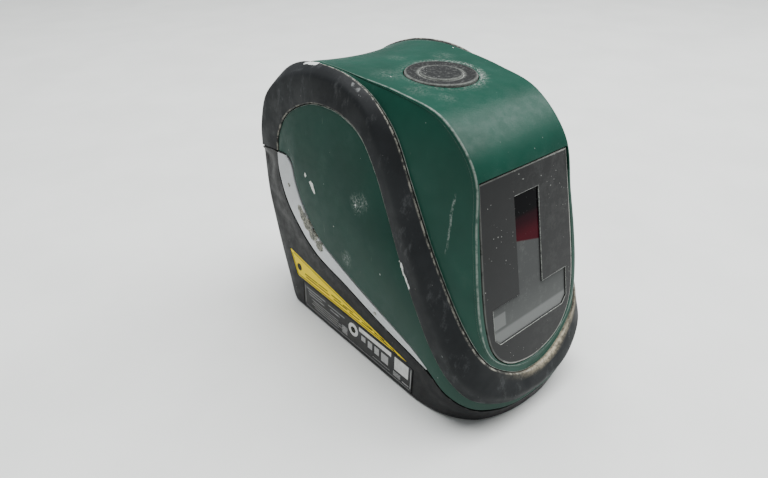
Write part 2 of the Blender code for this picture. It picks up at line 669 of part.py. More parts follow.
def make_base(materials):
    plastic = materials["black_plastic"]
    count = station_count(BASE_UPPER)
    upper = sample_curve(BASE_UPPER, count, True)
    fold = sample_curve(BASE_FOLD, count, True)
    lower = sample_curve(BASE_LOWER, count, True)
    lower[:, 2] = np.maximum(lower[:, 2], FOOT_HEIGHT)
    for row in (fold, lower):
        flat = row[:, 1] > SIDE_STRAIGHT_Y
        row[flat, 0] = label_wall_x(row[flat, 2])
    inward = base_inward(lower)
    outer = np.stack([upper, fold, lower], axis=1)
    inner = outer + inward[:, None, :] * BASE_WALL
    base = make_shell("base_shell", full_width(outer), full_width(inner), plastic)

    outline = [(x * FLOOR_SHRINK, y * FLOOR_SHRINK) for x, y, z in lower if z < FOOT_HEIGHT + 0.4]
    outline += [(-x, y) for x, y in reversed(outline[:-1])]
    floor = make_prism("floor", outline, (0, 0, FOOT_HEIGHT + 0.1), (1, 0, 0), (0, 1, 0),
                       (0, 0, FLOOR_TOP - FOOT_HEIGHT - 0.1), plastic)
    rear = make_rear_plate("rear", FOOT_HEIGHT + 0.05, 68.2, REAR_COLUMNS, 0.0, BASE_WALL, plastic)
    boss = make_disc("tripod_boss", (0, TRIPOD_Y, 2.0), Z_AXIS, TRIPOD_BOSS_RADIUS, 9.0, plastic, 32)
    unite(base, floor, rear, boss)
    for i, (x, y) in enumerate(CHASSIS_FEET):
        post = make_disc(f"chassis_post_{i}", (x, y, FLOOR_TOP - 0.5), Z_AXIS, 3.0, 1.7, plastic, 16)
        unite(base, post)
    for side in (-1, 1):
        low, high = sorted((side * 16.0, side * 21.0))
        post = make_box(f"board_post_{low:.0f}", (low, 11.4, FLOOR_TOP - 0.5), (high, 13.7, 22.0), plastic)
        low, high = sorted((side * (LID_HALF_WIDTH + 0.8), side * 29.6))
        ear = make_box(f"hinge_ear_{low:.0f}", (low, 43.4, 4.6), (high, 46.4, 11.0), plastic)
        unite(base, post, ear)

    bore = make_disc("tripod_bore", (0, TRIPOD_Y, -1.0), Z_AXIS, INSERT_RADIUS + GAP, 14.0, plastic, 32)
    half = LID_HALF_WIDTH + LID_CLEARANCE
    columns = [-half, -13.0, 0.0, 13.0, half]
    opening = make_rear_plate("lid_opening", LID_LOW - LID_CLEARANCE, LID_HIGH + LID_CLEARANCE,
                              columns, -6.0, 5.0, plastic)
    pin_hole = make_disc("hinge_bore", LID_HINGE - Vector((29.2, 0, 0)), X_AXIS, HINGE_PIN + GAP, 58.4,
                         plastic, 16)
    slot = make_box("switch_slot", (28.0, SWITCH_Y - 0.5, 7.6), (36.0, SWITCH_Y + 20.5, 13.4), plastic)
    cut(base, bore, opening, pin_hole, slot)
    for name, outline in (("warning", WARNING_LABEL), ("rating", RATING_LABEL)):
        cut(base, make_label(f"{name}_pocket", outline, GAP, -2.0, LABEL_POCKET, plastic))
    for i, (x, y) in enumerate(SCREW_PLACES):
        pit = make_disc(f"screw_pit_{i}", (x, y, -1.0), Z_AXIS, SCREW_HEAD + GAP, 2.6, plastic, 16)
        cut(base, pit)
    for i, (x, y) in enumerate(FOOT_PLACES):
        pit = make_disc(f"foot_pit_{i}", (x, y, -1.0), Z_AXIS, PAD_RADIUS + GAP, 2.3, plastic, 20)
        cut(base, pit)
    return base


def make_label(name, outline, grow, top, bottom, material):
    """Flat piece on the left label wall, from top to bottom below its surface."""
    centre = np.mean(np.array(outline), axis=0)
    points = []
    for y, z in outline:
        reach = math.hypot(y - centre[0], z - centre[1])
        scale = 1.0 + grow * LABEL_CORNER / reach
        points.append(((y - centre[0]) * scale + centre[0], (z - centre[1]) * scale + centre[1]))
    lean = Vector((SIDE_SLOPE, 0.0, 1.0))
    origin = Vector((-SIDE_FOOT_X + top - SIDE_SLOPE * FOOT_HEIGHT, 0.0, 0.0))
    return make_prism(name, points, origin, Y_AXIS, lean, (bottom - top, 0, 0), material)


def make_labels(materials):
    make_label("warning_label", WARNING_LABEL, 0.0, -0.05, LABEL_POCKET - GAP, materials["yellow_label"])
    make_label("rating_label", RATING_LABEL, 0.0, -0.05, LABEL_POCKET - GAP, materials["grey_label"])


def make_fittings(materials):
    """Small pieces under the base: feet, screws and the tripod insert."""
    for i, (x, y) in enumerate(FOOT_PLACES, 1):
        make_disc(f"foot_pad_{i}", (x, y, 0.0), Z_AXIS, PAD_RADIUS, 1.0, materials["rubber"], 20)
    for i, (x, y) in enumerate(SCREW_PLACES, 1):
        make_disc(f"base_screw_{i}", (x, y, 0.7), Z_AXIS, SCREW_HEAD, 0.6, materials["steel"], 12)
    make_ring("tripod_insert", (0, TRIPOD_Y, FOOT_HEIGHT + 0.1), Z_AXIS, INSERT_RADIUS, TRIPOD_BORE, 10.0,
              materials["brass"], 32)


# ---------------------------------------------------------------------------
# Battery bay and lid
# ---------------------------------------------------------------------------
def bay_point(out, along, x=0.0):
    """Point in the bay's own frame: out towards the lid, along its lean."""
    y = CELL_FIRST.y + out * math.cos(BAY_LEAN) + along * math.sin(BAY_LEAN)
    z = CELL_FIRST.z - out * math.sin(BAY_LEAN) + along * math.cos(BAY_LEAN)
    return Vector((x, y, z))


def bay_prism(name, out_low, out_high, along_low, along_high, half_width, material):
    """Block across the whole bay, square to its lean."""
    corners = [(out_low, along_low), (out_high, along_low), (out_high, along_high), (out_low, along_high)]
    outline = [(bay_point(o, a).y, bay_point(o, a).z) for o, a in corners]
    return make_prism(name, outline, (-half_width, 0, 0), Y_AXIS, Z_AXIS, (2 * half_width, 0, 0), material)


def make_tray(materials):
    plastic = materials["black_plastic"]
    last = 3 * CELL_PITCH
    tray = bay_prism("battery_tray", -9.2, 5.6, -8.6, last + 8.4, TRAY_HALF_WIDTH, plastic)
    hollow = bay_prism("tray_hollow", -7.7, 9.0, -7.5, last + 7.4, TRAY_HALF_WIDTH - TRAY_WALL, plastic)
    return cut(tray, hollow)


def helix(centre, axis, radius, length, turns, steps=10):
    first, second = plane_axes(axis)
    axis, centre = Vector(axis).normalized(), Vector(centre)
    count = int(turns * steps)
    points = []
    for i in range(count + 1):
        angle = 2.0 * math.pi * i / steps
        points.append(centre + (first * math.cos(angle) + second * math.sin(angle)) * radius
                      + axis * (length * i / count))
    return points


def make_cells(materials):
    half = CELL_LENGTH / 2.0
    for i in range(4):
        facing = 1 if i % 2 == 0 else -1
        centre = bay_point(0.0, i * CELL_PITCH)
        make_turned(f"battery_cell_{i + 1}", centre - Vector((facing * half, 0, 0)), (facing, 0, 0),
                    [(0.001, 0.0), (CELL_RADIUS, 0.0), (CELL_RADIUS, CELL_LENGTH - 1.3),
                     (2.7, CELL_LENGTH - 1.0), (2.7, CELL_LENGTH), (0.001, CELL_LENGTH)],
                    materials["cell_sleeve"], 20)
        path = helix(centre - Vector((facing * (half + 0.6), 0, 0)), (-facing, 0, 0), 2.6, 0.95, 1.75)
        make_tube(f"cell_spring_{i + 1}", path, 0.25, materials["steel"], 5)
    for side, name in ((-1, "contact_plate_left"), (1, "contact_plate_right")):
        corners = [(-5.0, -6.0), (5.0, -6.0), (5.0, 3 * CELL_PITCH + 6.0), (-5.0, 3 * CELL_PITCH + 6.0)]
        outline = [(bay_point(o, a).y, bay_point(o, a).z) for o, a in corners]
        make_prism(name, outline, (side * 26.8, 0, 0), Y_AXIS, Z_AXIS, (side * 0.25, 0, 0), materials["steel"])


def make_lid(materials):
    plastic = materials["black_plastic"]
    columns = [-LID_HALF_WIDTH, -13.0, 0.0, 13.0, LID_HALF_WIDTH]
    lid = make_rear_plate("battery_lid", LID_HINGE.z + 0.3, LID_HIGH, columns, 0.0, LID_THICKNESS, plastic)
    barrel = make_disc("lid_barrel", LID_HINGE - Vector((26.3, 0, 0)), X_AXIS, HINGE_BARREL, 52.6, plastic, 20)
    ridge = make_rear_plate("lid_ridge", 53.6, 55.4, [-8.0, 0.0, 8.0], -0.6, 1.0, plastic)
    unite(lid, barrel, ridge)
    pins = []
    for side, name in ((-1, "hinge_pin_left"), (1, "hinge_pin_right")):
        start = LID_HINGE + Vector((side * 22.6, 0, 0))
        bore = make_disc(name + "_bore", start - Vector((side * 0.4, 0, 0)), (side, 0, 0),
                         HINGE_PIN + GAP, 8.0, plastic, 16)
        cut(lid, bore)
        pins.append(make_disc(name, start, (side, 0, 0), HINGE_PIN, 6.2, materials["steel"], 12))
    set_pivot(LID_HINGE, lid)
    return lid


# ---------------------------------------------------------------------------
# Window and button
# ---------------------------------------------------------------------------
def make_window(materials):
    panel = window_prism("window_panel", window_outline(), 0.0, WINDOW_THICKNESS,
                         materials["window_plastic"])
    recess = window_prism("tee_recess", tee_outline(), -1.0, WINDOW_THICKNESS + 1.0,
                          materials["window_plastic"])
    cut(panel, recess)
    window_prism("window_glass", tee_outline(-GAP), RECESS_DEPTH, RECESS_DEPTH + GLASS_THICKNESS,
                 materials["smoked_glass"])


def make_button(materials):
    make_turned("button_bezel", button_point(0.0), button_axis(),
                [(BEZEL_RADIUS, -2.6), (BEZEL_RADIUS, 0.0), (BEZEL_RADIUS - 0.6, 0.35),
                 (KEY_RADIUS + GAP, 0.15), (KEY_RADIUS + GAP, -2.6)], materials["rubber"], 40)
    key = make_turned("mode_button", button_point(0.0), button_axis(),
                      [(0.001, -3.2), (2.0, -3.2), (2.0, -2.4), (KEY_RADIUS, -2.4),
                       (KEY_RADIUS, 0.1), (KEY_RADIUS - 0.7, 0.4), (0.001, 0.5)],
                      materials["rubber"], 40)
    set_pivot(button_point(0.0), key)


# ---------------------------------------------------------------------------
# Levelling unit
# ---------------------------------------------------------------------------
def make_chassis(materials):
    metal = materials["aluminium"]
    plate = make_box("chassis", (-20.0, -36.0, 4.5), (20.0, -8.0, 7.0), metal)
    for side in (-1, 1):
        low, high = sorted((side * (CHEEK_X - 1.3), side * (CHEEK_X + 1.3)))
        cheek = make_box(f"cheek_{low:.0f}", (low, CHEEK_FRONT, 6.0), (high, CHEEK_REAR, 91.0), metal)
        pedestal = make_disc(f"pedestal_{low:.0f}", (side * MAGNET_X, PIVOT.y, 6.0), Z_AXIS, 3.8, 8.0,
                             metal, 20)
        unite(plate, cheek, pedestal)
    bridge = make_box("bridge", (-17.0, CHEEK_FRONT + 0.2, 88.6), (17.0, CHEEK_REAR - 0.2, 90.8), metal)
    guide = make_box("pad_guide", (-8.0, PIVOT.y - 4.5, 13.0), (8.0, PIVOT.y + 4.5, 13.9), metal)
    unite(plate, bridge, guide)
    bearing_bore = make_disc("bearing_bore", PIVOT - Vector((22.0, 0, 0)), X_AXIS, BEARING_RADIUS + GAP, 44.0,
                             metal, 24)
    guide_hole = make_box("guide_hole", (-2.8, PIVOT.y - 2.9, 12.0), (2.8, PIVOT.y + 2.9, 16.0), metal)
    cut(plate, bearing_bore, guide_hole)
    for i, (x, y) in enumerate(CHASSIS_FEET[:2], 1):
        hole = make_disc(f"chassis_hole_{i}", (x, y, 2.0), Z_AXIS, 1.5, 8.0, metal, 12)
        cut(plate, hole)
        make_turned(f"chassis_screw_{i}", (x, y, 0.0), Z_AXIS,
                    [(0.001, 4.6), (1.2, 4.6), (1.2, 7.3), (2.6, 7.3), (2.6, 8.8), (0.001, 8.8)],
                    materials["steel"], 12)
    for side, name in ((-1, "trunnion_bearing_left"), (1, "trunnion_bearing_right")):
        make_ring(name, (side * CHEEK_X - 1.3, PIVOT.y, PIVOT.z), X_AXIS, BEARING_RADIUS, 1.6, 2.6,
                  materials["steel"], 24)
    for side, name in ((-1, "damping_magnet_left"), (1, "damping_magnet_right")):
        make_disc(name, (side * MAGNET_X, PIVOT.y, 14.3), Z_AXIS, 3.5, 4.0, materials["magnet_nickel"], 20)


def make_gimbal(materials):
    metal = materials["aluminium"]
    ring = make_box("gimbal_ring", PIVOT - Vector((14.5, 11.5, 4.0)), PIVOT + Vector((14.5, 11.5, 4.0)), metal)
    hollow = make_box("ring_hollow", PIVOT - Vector((11.5, 8.5, 6.0)), PIVOT + Vector((11.5, 8.5, 6.0)), metal)
    bore = make_disc("ring_bore", PIVOT - Vector((0, 14.0, 0)), Y_AXIS, INNER_BEARING + GAP, 28.0, metal, 20)
    cut(ring, hollow, bore)
    for side in (-1, 1):
        trunnion = make_disc(f"trunnion_{side + 1}", PIVOT + Vector((side * 13.5, 0, 0)), (side, 0, 0), 1.3,
                             5.8, metal, 16)
        unite(ring, trunnion)
    bearings = []
    for side, name in ((-1, "pendulum_bearing_front"), (1, "pendulum_bearing_rear")):
        start = PIVOT + Vector((0, side * 10.0 - 1.2, 0))
        bearings.append(make_ring(name, start, Y_AXIS, INNER_BEARING, 1.3, 2.4, materials["steel"], 20))
    set_pivot(PIVOT, ring, bearings)


def make_laser(name, z, materials):
    """Laser tube and its lens, both pointing at the window and balanced over the pivot."""
    tube = make_turned(f"laser_module_{name}", (0, PIVOT.y + LASER_BACK, z), (0, -1, 0),
                       [(0.001, 0.0), (2.4, 0.0), (2.4, 1.5), (5.0, 1.5), (5.0, 17.0), (2.6, 17.0),
                        (2.6, 14.0), (0.001, 14.0)], materials["brass"], 20)
    lens = make_disc(f"line_lens_{name}", (0, PIVOT.y + LASER_BACK - 17.3, z), (0, -1, 0), 4.4, 1.8,
                     materials["red_glass"], 20)
    return [tube, lens]


def make_pendulum(materials):
    metal = materials["aluminium"]
    body = make_box("pendulum_body", PIVOT + Vector((-6.0, -6.0, -5.0)), PIVOT + Vector((6.0, 6.0, 5.0)), metal)
    axle = make_disc("pendulum_axle", PIVOT - Vector((0, 11.6, 0)), Y_AXIS, 1.0, 23.2, metal, 16)
    foot = make_box("pendulum_foot", (-FOOT_HALF_WIDTH, PIVOT.y - 9.0, 25.0),
                    (FOOT_HALF_WIDTH, PIVOT.y + 9.0, 31.0), metal)
    stem = make_disc("foot_stem", (0, PIVOT.y, PIVOT.z - SWING_RADIUS), Z_AXIS, 2.5, 5.0, metal, 16)
    unite(body, axle, foot, stem)
    for side in (-1, 1):
        low, high = sorted((side * 5.0, side * 7.4))
        rail = make_box(f"rail_{low:.0f}", (low, PIVOT.y - 3.0, 30.0), (high, PIVOT.y + 3.0, 79.0), metal)
        unite(body, rail)
    pieces = []
    for name, z in (("vertical", LASER_HIGH), ("horizontal", LASER_LOW)):
        clamp = make_disc(f"clamp_{name}", (0, PIVOT.y + 6.0, z), (0, -1, 0), 7.0, 12.0, metal, 20)
        bore = make_disc(f"clamp_bore_{name}", (0, PIVOT.y + 8.0, z), (0, -1, 0), 5.0 + GAP, 16.0, metal, 20)
        unite(body, clamp)
        cut(body, bore)
        pieces += make_laser(name, z, materials)
    plate = make_box("damper_plate", (-FOOT_HALF_WIDTH, PIVOT.y - 8.5, 23.0),
                     (FOOT_HALF_WIDTH, PIVOT.y + 8.5, 24.7), materials["copper"])
    hole = make_disc("damper_hole", (0, PIVOT.y, 20.0), Z_AXIS, 2.5 + GAP, 8.0, metal, 16)
    cut(plate, hole)
    pieces.append(plate)
    set_pivot(PIVOT, body, pieces)


# ---------------------------------------------------------------------------
# Pendulum lock
# ---------------------------------------------------------------------------
def ramp_height(y):
    """Top of the ramp with the switch at rest; it climbs towards the window."""
    return RAMP_LEVEL + LOCK_LIFT / LOCK_STROKE * (PIVOT.y - y)


def make_lock(materials):
    plastic = materials["grey_plastic"]
    front, back, tail = PIVOT.y - 11.5, PIVOT.y + 3.5, PIVOT.y + 10.5
    outline = [(front, 7.4), (tail, 7.4), (tail, 9.2), (back, 9.2), (back, ramp_height(back)),
               (front, ramp_height(front))]
    slider = make_prism("lock_switch", outline, (-3.8, 0, 0), Y_AXIS, Z_AXIS, (7.6, 0, 0), plastic)
    arm = make_box("switch_arm", (3.0, PIVOT.y + 6.5, 8.0), (31.6, PIVOT.y + 10.4, 9.1), plastic)
    knob = make_box("switch_knob", (31.2, SWITCH_Y, 8.0), (32.9, SWITCH_Y + 12.0, 13.0), plastic)
    unite(slider, arm, knob)
    for i in range(4):
        y = SWITCH_Y + 2.5 + i * 2.2
        rib = make_box(f"switch_rib_{i}", (32.5, y, 8.6), (33.3, y + 0.8, 12.4), plastic)
        unite(slider, rib)
    top = PIVOT.z - SWING_RADIUS - 0.4 - LOCK_LIFT
    low, high = PIVOT.y - 2.4, PIVOT.y + 2.4
    outline = [(low, ramp_height(low) + GAP), (high, ramp_height(high) + GAP), (high, top - 1.0),
               (low, top - 1.0)]
    pad = make_prism("lock_pad", outline, (-2.4, 0, 0), Y_AXIS, Z_AXIS, (4.8, 0, 0), plastic)
    head = make_disc("pad_head", (0, PIVOT.y, top - 1.5), Z_AXIS, 3.4, 1.5, plastic, 20)
    unite(pad, head)
    set_pivot((31.2, SWITCH_Y, 10.5), slider)
    set_pivot((0, PIVOT.y, top), pad)


# ---------------------------------------------------------------------------
# Electronics
# ---------------------------------------------------------------------------
def make_electronics(materials):
    green = materials["circuit_green"]
    make_box("main_board", (-22.0, 14.0, 14.0), (22.0, 15.6, 64.0), green)
    make_box("switch_board", (-14.0, -19.5, 97.4), (14.0, 5.0, 99.0), green)
    make_box("tact_switch", (-3.0, BUTTON_Y - 3.0, 99.3), (3.0, BUTTON_Y + 3.0, 102.4),
             materials["black_plastic"])
    lead = sample_curve([(6.0, 14.8, 64.4), (6.0, 14.8, 74.0), (6.0, 12.5, 88.0), (6.0, 9.6, 96.0),
                         (6.0, 5.4, 98.2)], 13)
    make_tube("switch_lead", lead, 0.6, materials["wire_red"], 6)
    for side, name in ((-1, "battery_lead_minus"), (1, "battery_lead_plus")):
        x = side * 18.0
        lead = sample_curve([(x, 16.0, 30.0), (x, 20.0, 30.6), (x, 25.0, 27.0), (x, 31.0, 26.0)], 9)
        make_tube(name, lead, 0.6, materials["wire_red"], 6)


def main():
    for obj in list(bpy.data.objects):
        bpy.data.objects.remove(obj)
    materials = make_materials()
    frame = BumperFrame()
    make_bumper(frame, materials)
    make_hood(frame, materials)
    for side in (-1, 1):
        make_side_shell(frame, side, materials)
        make_trim(side, materials)
    make_base(materials)
    make_labels(materials)
    make_fittings(materials)
    make_tray(materials)
    make_cells(materials)
    make_lid(materials)
    make_window(materials)
    make_button(materials)
    make_chassis(materials)
    make_gimbal(materials)
    make_pendulum(materials)
    make_lock(materials)
    make_electronics(materials)


main()
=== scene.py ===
"""Looks of the cross-line laser level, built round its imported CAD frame."""
import math

import bmesh
import bpy
import numpy as np
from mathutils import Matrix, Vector


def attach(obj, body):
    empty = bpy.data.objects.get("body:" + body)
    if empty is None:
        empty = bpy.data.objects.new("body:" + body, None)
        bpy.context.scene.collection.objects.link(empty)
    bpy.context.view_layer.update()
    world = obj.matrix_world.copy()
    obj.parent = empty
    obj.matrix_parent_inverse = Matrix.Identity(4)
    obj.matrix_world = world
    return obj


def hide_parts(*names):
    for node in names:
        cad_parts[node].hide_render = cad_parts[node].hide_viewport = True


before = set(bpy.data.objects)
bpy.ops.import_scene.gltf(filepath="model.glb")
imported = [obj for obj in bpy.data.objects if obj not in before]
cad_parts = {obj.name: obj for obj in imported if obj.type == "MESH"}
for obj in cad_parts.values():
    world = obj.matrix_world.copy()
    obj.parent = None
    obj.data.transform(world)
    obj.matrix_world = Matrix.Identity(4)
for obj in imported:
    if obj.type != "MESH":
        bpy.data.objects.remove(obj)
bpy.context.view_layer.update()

# Lengths are in millimetres here and become metres in the meshes.
MM = 0.001
CENTRING = np.array([0, 0.55, 0])
GAP = 0.3
FINE = 8                     # mesh rows between two control stations
WELD = 0.00001               # points closer than this become one, in metres
SLIVER = 0.000004            # edges shorter than this go, in metres

# --- Sizes of the CAD part, repeated ---
WINDOW_TILT = math.radians(12.3)
WINDOW_FOOT_Y = -63.5
FOOT_HEIGHT = 0.5
TRIPOD_Y = 8
SWITCH_Y = -20
LID_HINGE = (45.6, 7.7)      # y, z
SCREW_PLACES = [(22, 36), (-22, 36), (17, -42), (-17, -42)]
FOOT_PLACES = [(26, 26), (-26, 26), (25, -34), (-25, -34)]

# Control stations of the guard, from the rear seam, over the top and down to
# the middle of the front: hood-side edge, crest, side-shell edge.
BUMPER_EDGE = [
    (27.5, 62.4, 69), (26.5, 62.3, 78), (25, 59.6, 90), (23.9, 51.5, 99.8), (25.2, 37, 106.3),
    (26.3, 22, 108.6), (26.4, 8, 107.9), (26.7, -4.5, 103.7), (27.1, -15, 94.6), (27.4, -23.5, 79.8),
    (27.9, -33.5, 62.5), (28.5, -44.5, 47), (28.2, -51.8, 38), (25.5, -56.4, 31), (20, -58.9, 24.9),
    (10, -60.6, 18.7), (0, -61, 16.6)]
BUMPER_CREST = [
    (32, 61, 69), (32, 60, 78), (31.6, 55.5, 90), (31.2, 45.5, 98.2), (30.8, 33, 103.6), (30.5, 20, 105.6),
    (30.6, 6.5, 104.9), (30.9, -5.5, 99.2), (31.4, -13.2, 88.4), (31.9, -19.8, 76.4), (32.4, -27, 62.8),
    (33, -36.5, 46.8), (33.4, -45.5, 34.2), (32.2, -52.9, 25.4), (27.6, -58.6, 18.6), (15, -63, 12.8),
    (0, -63.8, 11)]
BUMPER_SIDE = [
    (32.2, 48.4, 70.4), (32.1, 47.3, 76.6), (32, 42.4, 84.8), (31.9, 35, 90.8), (31.8, 24, 95.6),
    (31.8, 13.5, 97), (31.8, 4.5, 96), (31.9, -4, 92), (32, -11, 82.6), (32.1, -16.6, 71), (32.4, -23.5, 56),
    (32.8, -33.2, 39.1), (33, -41, 28), (32, -49, 19.6), (27.4, -56.2, 13.3), (15, -61.3, 8.6), (0, -62.6, 7.2)]

# Hood: its crease and its middle line, station by station.
HOOD_CREASE = [
    (22, 62.2, 69), (20.6, 61.8, 78), (19, 58.4, 89.4), (18.5, 50.2, 98.8), (20.8, 36.2, 105.7),
    (24.6, 20.4, 108.2), (24.5, 4, 107.8), (22.9, -13, 106.5), (21.8, -30, 102.9), (21.9, -43.4, 90.5),
    (23.7, -47.6, 72.5), (25.2, -51.2, 56), (25.2, -54.1, 42.5), (22.8, -56.3, 32.5), (17.6, -57.8, 25.8),
    (9, -58.9, 20.6), (0, -59.3, 18.9)]
HOOD_MIDDLE = [
    (0, 61.6, 69), (0, 60.4, 78), (0, 56.2, 88), (0, 48.4, 96.8), (0, 35.6, 104.4), (0, 20, 107.2),
    (0, 4, 107.1), (0, -13, 106.3), (0, -30, 103), (0, -43.6, 90.5), (0, -47.7, 72.5), (0, -51.3, 56),
    (0, -54.2, 42.5), (0, -56.4, 32.5), (0, -57.9, 25.8), (0, -59, 20.6), (0, -59.3, 18.9)]

# Lower edge of the side shell: over the top of the trim strip, down its inner
# edge to its tip, then round the front just above the base.
SHELL_LOWER = [
    (32.2, 47.6, 70.6), (32.2, 42, 71), (32.2, 38.3, 68.4), (32.2, 36.8, 61.4), (32.2, 33.9, 54.4),
    (32.2, 29.2, 47.4), (32.2, 22.2, 41), (32.2, 13.2, 37), (32.2, 3, 33.2), (32.2, -9, 29.3), (32.3, -20, 26),
    (32.5, -31, 23), (32.9, -40.3, 18.6), (31.9, -48.3, 13.2), (26.5, -56, 8.9), (14.5, -61, 6.3),
    (0, -62.1, 5.5)]

# Trim strip between the side shell and the base.
TRIM_OUTER = [
    (48.1, 69.8), (48.3, 63), (46.4, 55.4), (43, 48.7), (38, 43), (31.9, 37.7), (24.8, 33.5), (16.8, 31.1),
    (6.8, 28.9), (-13.2, 23.4), (-30, 19.8), (-38.6, 18)]
TRIM_INNER = [
    (42.6, 70.4), (39, 67.6), (37.4, 61.4), (34.4, 54.2), (30.4, 48), (25.4, 42.8), (19, 38.9), (12, 36),
    (3, 32.6), (-14, 27.2), (-30.2, 22.6), (-39, 18.6)]
TRIM_X = 32.5

# Base: upper edge, the fold below it, and the lower edge of the side wall.
BASE_UPPER = [
    (32, 60.6, 68.2), (32.2, 48.9, 69.5), (32.4, 48.9, 63), (32.5, 46.9, 55.2), (32.6, 43.5, 48.4),
    (32.6, 38.3, 42.6), (32.6, 32.2, 37.2), (32.6, 25, 33), (32.6, 16.9, 30.7), (32.6, 6.8, 28.5),
    (32.6, -13.3, 23), (32.7, -30, 19.4), (32.9, -40.2, 17.2), (31.8, -48.6, 12.2), (26.6, -55.9, 8.2),
    (18, -60, 6.1), (9, -61.6, 5.2), (0, -62, 4.9)]
BASE_FOLD = [
    (31, 60.6, 66), (31, 56, 62), (31.2, 58.6, 52), (31.4, 55.1, 45), (31.7, 49.4, 38.4), (31.9, 41.4, 33),
    (32, 32.4, 28.8), (32.1, 24, 26.4), (32.2, 15, 24.6), (32.2, 5, 22.4), (32.4, -14, 18), (32.5, -30.5, 14),
    (32.6, -40, 11), (31.2, -48.2, 8), (26.2, -55.2, 5.6), (17.6, -59.4, 4.2), (8.8, -61, 3.6), (0, -61.4, 3.4)]
BASE_LOWER = [
    (31, 60.6, 62), (31.1, 61, 56), (31.4, 59.8, 47), (31.7, 57.2, 38), (32.1, 53.4, 26), (32.6, 48.2, 12),
    (33, 43.2, 0.5), (33, 34, 0.5), (33, 24, 0.5), (33, 10, 0.5), (33, -10, 0.5), (33, -28, 0.5),
    (32.3, -38.8, 0.5), (29.4, -47.6, 0.5), (23.8, -54.8, 0.5), (16, -58.6, 0.5), (8, -60.5, 0.5),
    (0, -61, 0.5)]
SIDE_SLOPE = 0.035           # how much the label wall leans in, per mm of height
SIDE_FOOT_X = 33           # half width of the label wall where it starts
SIDE_STRAIGHT_Y = -30      # the label wall is flat behind this

# Rear wall of the base in side view.
REAR_PROFILE = [(43.6, 0.5), (48.9, 12), (53.9, 26), (57.8, 38), (60.4, 47),
                (61.7, 57), (61.6, 68.5)]
REAR_CROWN_X = [0, 25.4, 30.4, 31.7]
REAR_CROWN = [0.6, 0.3, -0.3, -1.1]

# Laser window, half outline in its own plane: across, and up the slope.
WINDOW_OUTLINE = [(21, 89.2), (21.9, 75), (22.9, 55), (22.7, 42), (20.8, 33),
                  (16.6, 26.6), (10, 22.4), (0, 20.6)]
WINDOW_MIDDLE = 55           # height up the slope that its outline grows from
SLOT_HALF_WIDTH = 5.8
SLOT_TOP = 80.8
BAR_HALF_WIDTH = 19
BAR_TOP = 46.8
BAR_BOTTOM = 33.4
BAR_CHAMFER = 2.6

# Flat labels on the left wall of the base: (y, z) corners.
WARNING_LABEL = [(46, 26), (41, 14.9), (-29, 14.5)]
RATING_LABEL = [(36.5, 1.8), (36.5, 13.6), (-32, 13.2), (-32, 1.8)]


